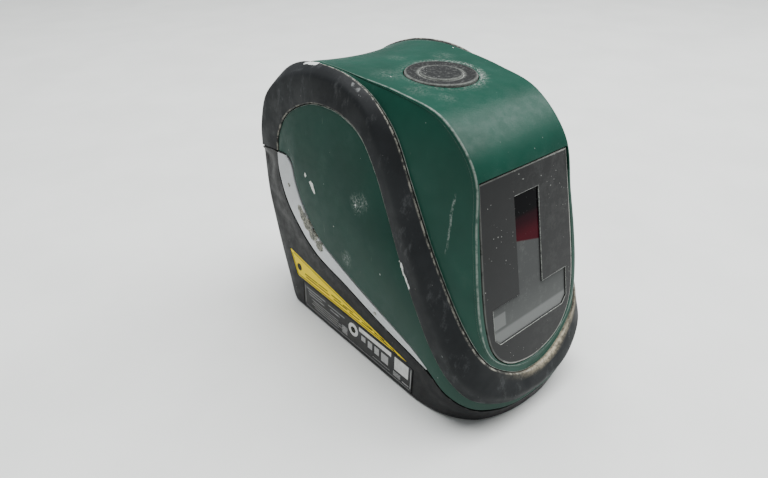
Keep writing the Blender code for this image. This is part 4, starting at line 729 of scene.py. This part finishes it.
def make_hood(guard):
    crease = curve(HOOD_CREASE)
    middle = curve(HOOD_MIDDLE)
    border = guard.at("edge", HOOD_DEPTH, GAP)
    border[-1][0] = 0
    # Crowned top from the middle line to just short of the crease.
    columns = []
    for share in np.linspace(0, 0.94, HOOD_COLUMNS):
        row = middle + (crease - middle) * share
        row[:, 2] = middle[:, 2] + (crease[:, 2] - middle[:, 2]) * share ** 2
        columns.append(row)
    # Fine lip at the crease, then the flank down to the guard.
    down = unit(border - crease)
    width = np.linalg.norm(border - crease, axis=1, keepdims=True)
    normal = unit(np.cross(tangents(crease), down))
    lip = crease + down * np.minimum(1.5, width * 0.25)
    sunk = lip - normal * np.minimum(0.22, width * 0.05)
    flank = [sunk + (border - sunk) * share for share in np.linspace(0, 1, 15)[1:-1]]
    near = border + unit(sunk - border) * np.minimum(0.45, width * 0.1)
    corners = [columns[-1], crease, lip, sunk, *flank, near, border]
    section, values = rounded(corners, [0, 0.7, 0.2, 0.2] + [0] * 15,
                              [0, 0.45, 0.3] + [0] * 15 + [0.85], closed=False)
    outer = np.concatenate([np.stack(columns[:-1], axis=1), section], axis=1)
    values[:, :10] *= np.interp(crease[:, 1], [-20, 10], [1, 0.35])[:, None]
    marks = np.concatenate([np.zeros((len(crease), len(columns) - 1)), values], axis=1)
    inner = outer - grid_normals(outer) * HOOD_SKIN
    inner[:, -1] = guard.at("edge", HOOD_DEPTH + HOOD_SKIN, GAP)
    inner[:, 0, 0] = 0
    inner[-1, :, 0] = 0
    both = [np.concatenate([mirror_x(g[:, :0:-1]), g], axis=1) for g in (outer, inner)]
    marks = np.concatenate([marks[:, :0:-1], marks], axis=1)
    # Dust in a ring round the key, thicker on the right.
    reach = np.linalg.norm(both[0][:, :, :2] - np.array([0, BUTTON_Y]), axis=2)
    up = both[0][:, :, 2] > HOOD_TOP_Z
    toward = both[0][:, :, 0] / np.maximum(reach, 1)
    dust = np.clip(1 - (reach - 12.4) / 3.2, 0, 1) * up
    dust = dust * (0.3 + np.clip(toward + 0.15, 0, 1))
    dust = np.maximum(dust, 0.17 * spot_marks(both[0], DUSTY))
    hood = slab("green_hood", *both, "green",
                {"edge": marks, "dust": dust, "chip": spot_marks(both[0], HOOD_CHIPS)}, folded=True)
    opening = window_solid("window_way", [(-4, 0.65), (0, 0.65), (0.45, GAP), (9, GAP)])
    snug, wide = BEZEL_RADIUS + GAP, BEZEL_RADIUS + 0.75
    hole = turned("button_way", button_point(0), BUTTON_AXIS,
                  [(0, -6), (snug, -6), (snug, -0.35), (wide, 0.1), (wide, 6), (0, 6)], "green")
    combine(hood, [opening, hole], "DIFFERENCE")
    place_piece(hood, "green_plastic", "hood_cover")


DUSTY = [(-15, 2, 107.3, 7), (-17, -14, 106.8, 5), (0, 15, 107.1, 4), (-13, -22, 105.5, 4),
         (3, -21, 105.5, 3), (14, 6, 107.3, 5)]
HOOD_CHIPS = [
    (-25.3, 30, 107.6, 2.6), (-25.4, 26.5, 108.3, 2.2), (-26, -37.8, 80.1, 0.9), (-26.3, -39.5, 64, 0.8),
    (-15.7, 0.3, 107.3, 0.9), (2.7, -21, 105.4, 0.7), (-22.4, -31, 101, 0.7), (22.3, -39, 95.5, 0.8),
    (23, 10, 107.8, 0.8)]


# --- Side shells and silver strips ---
def make_side(guard, side):
    lower = curve(SHELL_LOWER)
    edge = guard.at("side", 0.5, GAP)
    width = np.linalg.norm(lower - edge, axis=1, keepdims=True)
    channel = [guard.at("edge", CHANNEL_DEPTH, -1.5), guard.at("crest", CHANNEL_DEPTH),
               guard.at("side", CHANNEL_DEPTH, GAP)]
    face = []
    for share in np.linspace(0, 1, SIDE_COLUMNS):
        row = edge + (lower - edge) * share
        row[:, 0] += 0.8 * math.sin(math.pi * share) * np.minimum(1, width[:, 0] / 30)
        face.append(row)
    flat = [0] * (SIDE_COLUMNS - 2)
    outer, values = rounded(channel + face + [lower + np.array([-1.8, 0, 0])],
                            [0, 0, 0, 0.5, *flat, 0.5, 0], [0, 0, 0, 1, *flat, 0.7, 0], 4, False)
    inner = outer + np.array([-SHELL_SKIN, 0, 0])
    outer[-1, :, 0] = GAP / 2
    inner[-1, :, 0] = GAP / 2 + 0.2
    name, chips, dusty = "right", CHIPS_RIGHT, []
    if side < 0:
        outer, inner = mirror_x(outer), mirror_x(inner)
        name, chips, dusty = "left", CHIPS_LEFT, FLANK_DUST
    piece = slab(f"green_flank_{name}", outer, inner, "side",
                 {"edge": values, "chip": spot_marks(outer, chips), "dust": 0.6 * spot_marks(outer, dusty)})
    place_piece(piece, "green_plastic", f"side_shell_{name}")


CHIPS_LEFT = [
    (-32.9, 25.4, 64.8, 1.9), (-32.9, 24.4, 63, 1.7), (-32.9, 23.8, 61.8, 1.2), (-32.9, 29, 67, 1.3),
    (-32.9, -1, 66.5, 1.1), (-32.9, -6.6, 69.8, 1.2), (-32.9, -3.8, 67.6, 0.9), (-32.9, 9.9, 83.6, 1),
    (-32.4, -24.3, 54.9, 1.7), (-32.4, -25.3, 53.2, 1.8), (-32.5, -26.4, 51.4, 1.8), (-32.5, -27.4, 49.6, 1.7),
    (-32.6, -28.3, 48, 1.4), (-32.9, -14, 45, 0.9), (-32.9, 12, 52, 0.9)]
CHIPS_RIGHT = [(32.9, 20, 60, 1.6), (32.9, 2, 74, 1.2), (32.6, -18, 48, 1.5), (32.9, 30, 80, 1.1)]
STRIP_DIRT = [
    (-32.5, 34.8, 50, 2.6), (-32.5, 33, 47.4, 3.6), (-32.5, 30.5, 44.8, 4.2), (-32.5, 26.7, 41.8, 4.4),
    (-32.5, 22.7, 38.4, 3.6), (-32.5, 41.5, 58, 1.4), (-32.5, -12, 25.5, 1.6)]
FLANK_DUST = [(-33, 5.4, 40.7, 3.4), (-33, 4.4, 43.2, 2.2), (-33, -2, 67.5, 4), (-33, -5.5, 69.5, 3)]


def make_strip(side):
    outer = curve([(TRIM_X, y, z) for y, z in TRIM_OUTER], folded=False)
    inner = curve([(TRIM_X, y, z) for y, z in TRIM_INNER], folded=False)
    drop = np.array([-1.5, 0, 0])
    between = [outer + (inner - outer) * share for share in np.linspace(0, 1, 13)[1:-1]]
    flat = [0] * len(between)
    points, marks = rounded([outer + drop, outer, *between, inner, inner + drop],
                            [0, 0.35, *flat, 0.35, 0], [0, 1, *flat, 1, 0], 4)
    name, dirt = "right", []
    if side < 0:
        points = mirror_x(points)
        name, dirt = "left", STRIP_DIRT
    piece = loft(f"silver_strip_{name}", points, "silver", {"edge": marks, "chip": spot_marks(points, dirt)})
    place_piece(piece, "silver_trim", f"trim_strip_{name}")


# --- Base with its rear wall ---
def wall_x(z):
    return SIDE_FOOT_X - SIDE_SLOPE * (z - FOOT_HEIGHT)


def rear_plate(name, low, high, columns, top, bottom, rows=40):
    """Black plate along the rear wall's profile, from top to bottom below its surface."""
    ys, zs = zip(*REAR_PROFILE)
    crowns = np.interp(np.abs(columns), REAR_CROWN_X, REAR_CROWN)
    heights = np.linspace(low, high, rows)
    grids = [np.array([[(x, np.interp(z, zs, ys) + crown - depth, z) for x, crown in zip(columns, crowns)]
                       for z in heights]) for depth in (top, bottom)]
    return slab(name, *grids, "black", {"edge": np.zeros(grids[0].shape[:2])})


def make_base():
    upper = curve(BASE_UPPER)
    fold = curve(BASE_FOLD)
    lower = curve(BASE_LOWER)
    lower[:, 2] = np.maximum(lower[:, 2], FOOT_HEIGHT)
    for row in (fold, lower):
        flat = row[:, 1] > SIDE_STRAIGHT_Y
        row[flat, 0] = wall_x(row[flat, 2])
    along = tangents(lower)
    along[:, 2] = 0
    inward = unit(np.cross(unit(along), np.array([0, 0, 1])))
    inward[lower[:, 1] > 30] = np.array([-1, 0, 0])
    middles = [upper * 0.5 + fold * 0.5, fold * 0.5 + lower * 0.5]
    corners = [upper + inward * 2, upper, middles[0], fold, middles[1], lower, lower + inward * 2]
    outer, marks = rounded(corners, [0, 0.35, 0, 1.6, 0, 0.5, 0], [0, 0.8, 0, 0, 0, 0.5, 0],
                           4, False)
    outer, marks = outer[:, 1:-1], marks[:, 1:-1]
    # Mask of the painted shade: full from the upper edge down to the fold, weaker on the front part.
    band = np.zeros(marks.shape)
    band[:, :7] = 1
    band[:, 7] = 0.5
    band[lower[:, 1] < 30] *= 0.6
    inner = outer + inward[:, None, :] * BASE_SKIN
    shell = slab("base_wall", full(outer), full(inner), "black",
                 {"edge": full(marks), "band": full(band)}, 30)
    outline = [(x * 0.992, y * 0.992) for x, y, z in lower if z < FOOT_HEIGHT + 0.4]
    ring = outline + [(-x, y) for x, y in reversed(outline[:-1])]
    floor = prism("floor", [[(x, y, z) for x, y in ring] for z in (FOOT_HEIGHT + 0.02, 3)], "black")
    half = [6, 13, 20, 26, 29, 30.2, 30.9]
    wide = [-x for x in reversed(half)] + [0, *half]
    bodies = [floor, rear_plate("rear", FOOT_HEIGHT + 0.03, 68.2, wide, 0, 2),
              post("boss", (0, TRIPOD_Y, 2), 7.5, 9)]
    for side in (-1, 1):
        low, high = sorted((side * 27.3, side * 29.6))
        bodies.append(block(f"ear_{side + 1}", (low, 43.4, 4.6), (high, 46.4, 11), "black", 0))
    combine(shell, bodies, "UNION")
    cutters = [rear_plate("lid_way", 5.5, 60.4, [-26.9, -13, 0, 13, 26.9], -6, 5),
               post("insert_way", (0, TRIPOD_Y, -1), 5.3, 14),
               block("switch_way", (28, SWITCH_Y - 0.5, 7.6), (36, SWITCH_Y + 20.5, 13.4), "black", 0),
               post("pin_way", (-29.2, *LID_HINGE), 1.05, 58.4, 24, (1, 0, 0))]
    for name, outline in (("warning", WARNING_LABEL), ("rating", RATING_LABEL)):
        cutters.append(wall_piece(f"{name}_way", grow_outline(outline, 0.45), -2, 0.35, "black"))
    for name, places, radius, height, sides in (("screw", SCREW_PLACES, 2.8, 2.6, 32),
                                                ("foot", FOOT_PLACES, 4.3, 2.3, 40)):
        for i, (x, y) in enumerate(places):
            cutters.append(post(f"{name}_way_{i}", (x, y, -1), radius, height, sides))
    combine(shell, cutters, "DIFFERENCE", 30)
    shell.name = "black_base"
    place_piece(shell, "black_plastic", "base_shell")


CORNER_REACH = 1.4           # a corner moves about this much further than the sides beside it


def grow_outline(outline, grow):
    points = np.array(outline, dtype=float)
    out = points - np.mean(points, axis=0)
    return points + out / np.linalg.norm(out, axis=1, keepdims=True) * grow * CORNER_REACH


def wall_piece(name, outline, top, bottom, material):
    """Flat piece on the left label wall, from top to bottom below its surface."""
    return prism(name, [[(depth - wall_x(z), y, z) for y, z in outline] for depth in (top, bottom)], material)


# --- Window and key ---
def window_point(across, slope, depth=0):
    y = WINDOW_FOOT_Y + slope * math.sin(WINDOW_TILT) + depth * math.cos(WINDOW_TILT)
    return (across, y, slope * math.cos(WINDOW_TILT) - depth * math.sin(WINDOW_TILT))


def window_ring(grow):
    samples = curve([(u, v, 0) for u, v in WINDOW_OUTLINE], 6)
    right = [(u, v) for u, v, _ in samples[:-1]]
    points = right + [(0, samples[-1][1])] + [(-u, v) for u, v in reversed(right)]
    result = []
    for u, v in points:
        up = v - WINDOW_MIDDLE
        share = grow / math.hypot(u, up)
        result.append((u + u * share, v + up * share))
    return result


def window_solid(name, levels, outline=window_ring, material="window", marks=None):
    """Solid in the window's plane through (depth, growth) levels of an outline."""
    stack = [[window_point(u, v, depth) for u, v in outline(grow)] for depth, grow in levels]
    values = None
    if marks:
        left = [0.25 if u < -16 else 1 for u, v in outline(0)]
        values = {"edge": np.array([[mark * share for share in left] for mark in marks])}
    return prism(name, stack, material, values, 30)


def tee_ring(grow):
    slot, bar = SLOT_HALF_WIDTH + grow, BAR_HALF_WIDTH + grow
    right = [(slot, SLOT_TOP + grow), (slot, BAR_TOP + grow), (bar, BAR_TOP + grow),
             (bar, BAR_BOTTOM + BAR_CHAMFER - grow * 0.4), (bar - BAR_CHAMFER + grow * 0.4, BAR_BOTTOM - grow)]
    return right + [(-u, v) for u, v in reversed(right)]


def make_window():
    panel = window_solid("window_plate", [(3.4, 0), (0.35, 0), (0.1, -0.08), (0, -0.32), (0, -0.75)],
                         marks=[0, 0.7, 1, 0.8, 0])
    recess = window_solid("tee_way", [(-1, 0.28), (0, 0.28), (0.28, 0), (6, 0)], tee_ring)
    combine(panel, [recess], "DIFFERENCE", 25)
    place_piece(panel, "window_plastic", "window_panel")
    glass = window_solid("tee_glass", [(3, -0.02), (0.5, -0.02)], tee_ring, "glass")
    place_piece(glass, "smoked_glass", "window_glass")
    # Pale worn line along the rims of the T recess, but not on the left of its slot or on its left arm's top.
    ring = tee_ring(0.2)
    path = [window_point(*ring[i], 0.08) for i in (9, 0, 1, 2, 3, 4, 5, 6, 7)]
    place_piece(tube("tee_rim_wear", path, 0.13, "pale", 6), "window_plastic")


BUTTON_TILT = math.radians(2.5)
BUTTON_AXIS = np.array([0, -math.sin(BUTTON_TILT), math.cos(BUTTON_TILT)])
BUTTON_Y = -7
BUTTON_Z = 106.9
BEZEL_RADIUS = 12.2
KEY_RADIUS = 7.3


def button_point(height):
    return np.array([0, BUTTON_Y, BUTTON_Z]) + BUTTON_AXIS * height


def make_key():
    edge = KEY_RADIUS + GAP
    profile = [(edge, -2.6), (BEZEL_RADIUS, -2.6), (BEZEL_RADIUS, -0.1), (BEZEL_RADIUS - 0.12, 0.14),
               (BEZEL_RADIUS - 0.4, 0.3), (BEZEL_RADIUS - 0.9, 0.33), (10.4, 0.24), (9.2, 0.14), (8.6, 0.1),
               (edge + 0.45, 0.1), (edge + 0.12, 0.04), (edge, -0.15)]
    bezel = turned("key_ring", button_point(0), BUTTON_AXIS, profile, "ring", 96,
                   {"edge": [0, 0, 0.9, 1, 0.5, 0, 0, 0, 0, 0.3, 1, 0.9]})
    place_piece(bezel, "rubber", "button_bezel")
    profile = [(0, -3.2), (2, -3.2), (2, -2.4), (KEY_RADIUS, -2.4), (KEY_RADIUS, 0), (KEY_RADIUS - 0.1, 0.22),
               (KEY_RADIUS - 0.35, 0.38), (KEY_RADIUS - 0.8, 0.42), (5.6, 0.36), (3.6, 0.32), (1.6, 0.3), (0, 0.3)]
    key = turned("mode_key", button_point(0), BUTTON_AXIS, profile, "key", 96,
                 {"edge": [0, 0, 0, 0, 0.9, 1, 0.5, 0, 0, 0, 0, 0]})
    place_piece(key, "rubber", "mode_button", body="key")
    low, high = KEY_RADIUS + 0.06, edge - 0.05
    groove = turned("key_groove_dust", button_point(-0.5), BUTTON_AXIS,
                    [(low, 0), (high, 0), (high, 0.42), (low, 0.42)], "pale")
    place_piece(groove, "rubber")


# --- Labels ---
def rounded_outline(outline, cut, steps=4):
    points = []
    array = np.array(outline, dtype=float)
    for i, corner in enumerate(array):
        back = unit(array[i - 1] - corner)
        ahead = unit(array[(i + 1) % len(array)] - corner)
        points += bend(corner + back * cut, corner, corner + ahead * cut, steps)
    return points


def print_patch(name, outline, material, top=-0.07):
    """Printed area that lies on a label."""
    place_piece(wall_piece(name, outline, top, 0.1, material), "grey_label")


def disc(y, z, radius, count):
    return [(y + radius * math.cos(a), z + radius * math.sin(a)) for a in full_turn(count)]


def bar_on(line, start, end, low, high):
    """Outline of a bar between two shares of a line, at two distances above it."""
    (y0, z0), (y1, z1) = line
    a = np.array([y0 + (y1 - y0) * start, z0 + (z1 - z0) * start])
    b = np.array([y0 + (y1 - y0) * end, z0 + (z1 - z0) * end])
    up = np.array([0, 1])
    return [a + up * low, b + up * low, b + up * high, a + up * high]


def make_labels():
    for name, outline, cut, material, slot in (("warning", WARNING_LABEL, 0.7, "yellow", "yellow_label"),
                                               ("rating", RATING_LABEL, 0.8, "plate", "grey_label")):
        film_and_reflection = wall_piece(f"{name}_film", rounded_outline(outline, cut), -0.05, 0.2, material)
        place_piece(film_and_reflection, slot, f"{name}_label")
    top_line = ((46, 26), (-29, 14.5))
    foot_line = ((41, 14.9), (-29, 14.5))
    lines = [bar_on(top_line, 0.03, 0.93, -0.95, -0.6), bar_on(foot_line, 0, 0.9, 0.45, 0.8),
             [(44.9, 24.6), (44.5, 24.6), (40.5, 15.7), (40.9, 15.7)]]
    for i, outline in enumerate(lines):
        print_patch(f"warning_line_{i}", outline, "ink")
    for i, (start, end, height) in enumerate(WARNING_BARS):
        print_patch(f"warning_bar_{i}", bar_on(foot_line, start, end, height, height + 0.5), "ink")
    print_patch("warning_mark", disc(39.5, 19.6, 1.7, 24), "ink")
    for i, (y0, y1, z0, z1, *tone) in enumerate(RATING_PRINTS):
        print_patch(f"rating_block_{i}", [(y0, z0), (y1, z0), (y1, z1), (y0, z1)], *(tone or ["faint"]))
    print_patch("rating_mark", disc(2.2, 9.3, 3, 32), "white")
    print_patch("rating_mark_core", disc(2.2, 9.3, 1.6, 6), "ink", -0.09)


# Bars in place of the warning's text: start and end as shares of its lower line, height above it.
WARNING_BARS = [(0.08, 0.21, 3.1), (0.22, 0.31, 3.2), (0.09, 0.33, 1.9), (0.35, 0.44, 3), (0.37, 0.50, 1.8),
                (0.46, 0.55, 2.6), (0.52, 0.61, 1.6), (0.63, 0.72, 1.5), (0.74, 0.82, 1.3)]
# Blocks in place of print on the rating plate: y from, y to, z from, z to, tone if it isn't faint.
RATING_PRINTS = [
    (34.5, 21, 11.6, 12.1), (33.5, 23.5, 10.3, 10.8), (33, 22, 9, 9.5), (31, 12, 7.2, 7.6), (30, 10, 6.1, 6.5),
    (31, 8, 5, 5.4), (29, 12, 3.9, 4.3), (19, 8, 11.2, 11.7), (17.5, 11, 9.6, 10.2),
    (-1.5, -20.5, 11, 13, "white"), (-3, -5.5, 7.4, 9.8, "soft"), (-7, -9.6, 6.6, 9.8, "soft"),
    (-11, -13.6, 6.4, 9.8, "soft"), (-15, -19, 5.6, 9.6, "soft"), (-22.5, -30, 6.6, 12.6, "white"),
    (-22, -26, 3.4, 5.6), (-10, -20, 3.9, 4.2), (-27, -30.5, 3.4, 3.8, "soft"), (35.7, 35.4, 3.4, 12.4),
    (35.2, -31, 2.35, 2.6), (-31.2, -31.5, 3.2, 12.4, "soft"), (9.5, 6, 3.6, 7.4)]


# --- Lid, cells and the small pieces ---
def make_lid():
    half = 26.5
    columns = np.concatenate([[-half], np.linspace(-half + 0.3, half - 0.3, 25), [half]])
    plate = rear_plate("lid_plate", 8, 60, columns, 0, 2, 60)
    parts = [post("lid_barrel", (-26.3, *LID_HINGE), 1.5, 52.6, 32, (1, 0, 0))]
    for i in range(5):
        low = 49.4 + i * 1.5
        reach = 9 - abs(i - 2) * 1.1
        parts.append(rear_plate(f"grip_{i}", low, low + 0.7, np.linspace(-reach, reach, 7), -0.5, 1, 3))
    combine(plate, parts, "UNION")
    cutters = [post(f"pin_way_{side}", (side * 22.2, *LID_HINGE), 1.05, 8, 24, (side, 0, 0))
               for side in (-1, 1)]
    combine(plate, cutters, "DIFFERENCE", 30)
    plate.name = "bay_lid"
    place_piece(plate, "black_plastic", "battery_lid", body="lid")


BAY_FOOT = (38.4, 14.8)      # y, z of the lowest cell's axis
BAY_LEAN = math.radians(16)
CELL_PITCH = 15
CELL_START = 24.75           # from the mid-plane to a cell's flat end


def make_cells():
    for i in range(4):
        facing = 1 if i % 2 == 0 else -1
        start = np.array([-facing * CELL_START, BAY_FOOT[0] + i * CELL_PITCH * math.sin(BAY_LEAN),
                          BAY_FOOT[1] + i * CELL_PITCH * math.cos(BAY_LEAN)])
        profile = [(0, 0.1), (4.8, 0.1), (5.1, 0), (6.6, 0), (6.95, 0.1), (7.1, 0.45), (7.1, 47.8), (6.95, 48.1),
                   (6.5, 48.25), (6.2, 48.4), (3.2, 48.4), (2.8, 48.5), (2.75, 49.3), (2.55, 49.5), (0, 49.5)]
        cell = turned(f"aa_cell_{i + 1}", start, (facing, 0, 0), profile, "cell", 48,
                      {"along": [h for r, h in profile]})
        place_piece(cell, "cell_sleeve", f"battery_cell_{i + 1}")
        base = start - np.array([facing * 0.55, 0, 0])
        path = []
        for t in np.linspace(0, 2.6, 60):
            angle = 2 * math.pi * t
            radius = 2.7 - 0.35 * t
            out, up = radius * math.cos(angle), radius * math.sin(angle)
            path.append(base + np.array([-facing * 0.4 * t, out, up]))
        spring = tube(f"contact_spring_{i + 1}", path, 0.22, "steel", 8)
        place_piece(spring, "steel", f"cell_spring_{i + 1}")


def make_small():
    for i, (x, y) in enumerate(SCREW_PLACES, 1):
        head = turned(f"cross_screw_{i}", (x, y, 0.7), (0, 0, 1),
                      [(0, 0.6), (0, 0), (1.7, 0), (2.2, 0.08), (2.5, 0.35), (2.5, 0.6)], "steel", 40)
        slots = [block(f"slot_{i}_{k}", (x - a, y - b, 0.3), (x + a, y + b, 1.1), "steel", 0)
                 for k, (a, b) in enumerate(((1.4, 0.25), (0.25, 1.4)))]
        combine(head, slots, "DIFFERENCE")
        place_piece(head, "steel", f"base_screw_{i}")
    for i, (x, y) in enumerate(FOOT_PLACES, 1):
        pad = turned(f"rubber_foot_{i}", (x, y, 0), (0, 0, 1),
                     [(0, 1), (0, 0.06), (2.9, 0.06), (3.1, 0), (3.6, 0), (3.9, 0.14), (4, 0.4), (4, 1)],
                     "foot", 48)
        place_piece(pad, "rubber", f"foot_pad_{i}")
    profile = [(5, 0.3), (5, 10), (3.5, 10)]
    for i in range(12):
        height = 9.7 - i * 0.76
        profile += [(3.12, height), (3.12, height - 0.18), (3.5, height - 0.42), (3.5, height - 0.5)]
    profile += [(3.6, 0.2), (3.9, 0), (4.7, 0)]
    insert = turned("threaded_insert", (0, TRIPOD_Y, 0.6), (0, 0, 1), profile, "brass", 48, None, 25)
    place_piece(insert, "brass", "tripod_insert")
    knob = block("lock_knob", (31.2, SWITCH_Y + 0.1, 8.05), (32.7, SWITCH_Y + 11.9, 12.95), "grey", 0.35)
    ribs = [block(f"rib_{i}", (32.3, SWITCH_Y + 1.6 + i * 1.5, 8.7), (33.25, SWITCH_Y + 2.2 + i * 1.5, 12.3),
                  "grey", 0.18) for i in range(6)]
    arm = block("arm", (3, -17.4, 8.05), (31.6, -13.7, 9.05), "grey", 0.15)
    ramp = prism("ramp", [[(x, y, z) for y, z in ((-35.5, 7.45), (-13.5, 7.45), (-13.5, 9.15), (-20.5, 9.15),
                                                  (-20.5, 9.25), (-35.5, 12.55))] for x in (-3.75, 3.75)],
                 "grey")
    combine(knob, ribs + [arm, ramp], "UNION")
    place_piece(knob, "grey_plastic", "lock_switch", body="lock_slider")


CAD_LOOKS = {
    "aluminium": "chassis gimbal_ring pendulum_body",
    "steel": "hinge_pin_left hinge_pin_right contact_plate_left contact_plate_right chassis_screw_1 "
             "chassis_screw_2 trunnion_bearing_left trunnion_bearing_right pendulum_bearing_front "
             "pendulum_bearing_rear",
    "brass": "laser_module_vertical laser_module_horizontal",
    "copper": "damper_plate",
    "nickel": "damping_magnet_left damping_magnet_right",
    "lens": "line_lens_vertical line_lens_horizontal",
    "board": "main_board switch_board",
    "tray": "battery_tray tact_switch",
    "wire": "switch_lead battery_lead_minus battery_lead_plus",
    "grey": "lock_pad",
}


def dress_nodes():
    for look, names in CAD_LOOKS.items():
        for name in names.split():
            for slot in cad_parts[name].material_slots:
                slot.material = MATERIALS[look]


# --- Stage ---
def make_stage():
    mesh = bpy.data.meshes.new("desk")
    corners = [(-1, -1), (1, -1), (1, 1), (-1, 1)]
    mesh.from_pydata([(x * FLOOR_REACH, y * FLOOR_REACH, 0) for x, y in corners], [], [(0, 1, 2, 3)])
    mesh.materials.append(MATERIALS["floor"])
    add_object("desk", mesh)
    camera = bpy.data.cameras.new("camera")
    camera.lens = CAMERA_LENS
    camera.sensor_width = 36
    camera.clip_start = 0.01
    holder = add_object("camera", camera)
    holder.location = CAMERA_PLACE
    holder.rotation_euler = (math.radians(90 - CAMERA_DOWN), 0, math.radians(CAMERA_TURN))
    bpy.context.scene.camera = holder
    world = bpy.data.worlds.new("soft_room")
    world.use_nodes = True
    back = world.node_tree.nodes["Background"]
    back.inputs["Color"].default_value = ROOM_COLOUR
    back.inputs["Strength"].default_value = ROOM_STRENGTH
    bpy.context.scene.world = world
    for name, place, target, size, power in LIGHTS:
        light = bpy.data.lights.new(name, "AREA")
        light.shape = "RECTANGLE"
        light.size, light.size_y = size
        light.energy = power
        lamp = add_object(name, light)
        lamp.location = place
        aim = Vector(target) - Vector(place)
        lamp.rotation_euler = aim.to_track_quat("-Z", "Y").to_euler()


# The stage is in metres, its angles in degrees and its powers in watts.
FLOOR_REACH = 3
CAMERA_PLACE = (-0.13855, -0.14036, 0.163)
CAMERA_LENS = 27.5
CAMERA_DOWN = 32.1
CAMERA_TURN = -40.4
ROOM_COLOUR = (0.95, 0.98, 1, 1)
ROOM_STRENGTH = 0.3
# Lights: name, place, target, width and depth, power.
LIGHTS = [
    ("ceiling", (0.15, 0.12, 1.25), (0, 0, 0.05), (1.2, 0.9), 33),
    ("room_side", (0.85, -0.35, 0.95), (0, 0, 0.08), (0.7, 0.5), 9),
]

guard_rows = Guard()
make_guard(guard_rows)
make_hood(guard_rows)
make_side(guard_rows, -1)
make_side(guard_rows, 1)
make_strip(-1)
make_strip(1)
make_base()
make_window()
make_key()
make_labels()
make_lid()
make_cells()
make_small()
dress_nodes()
make_stage()
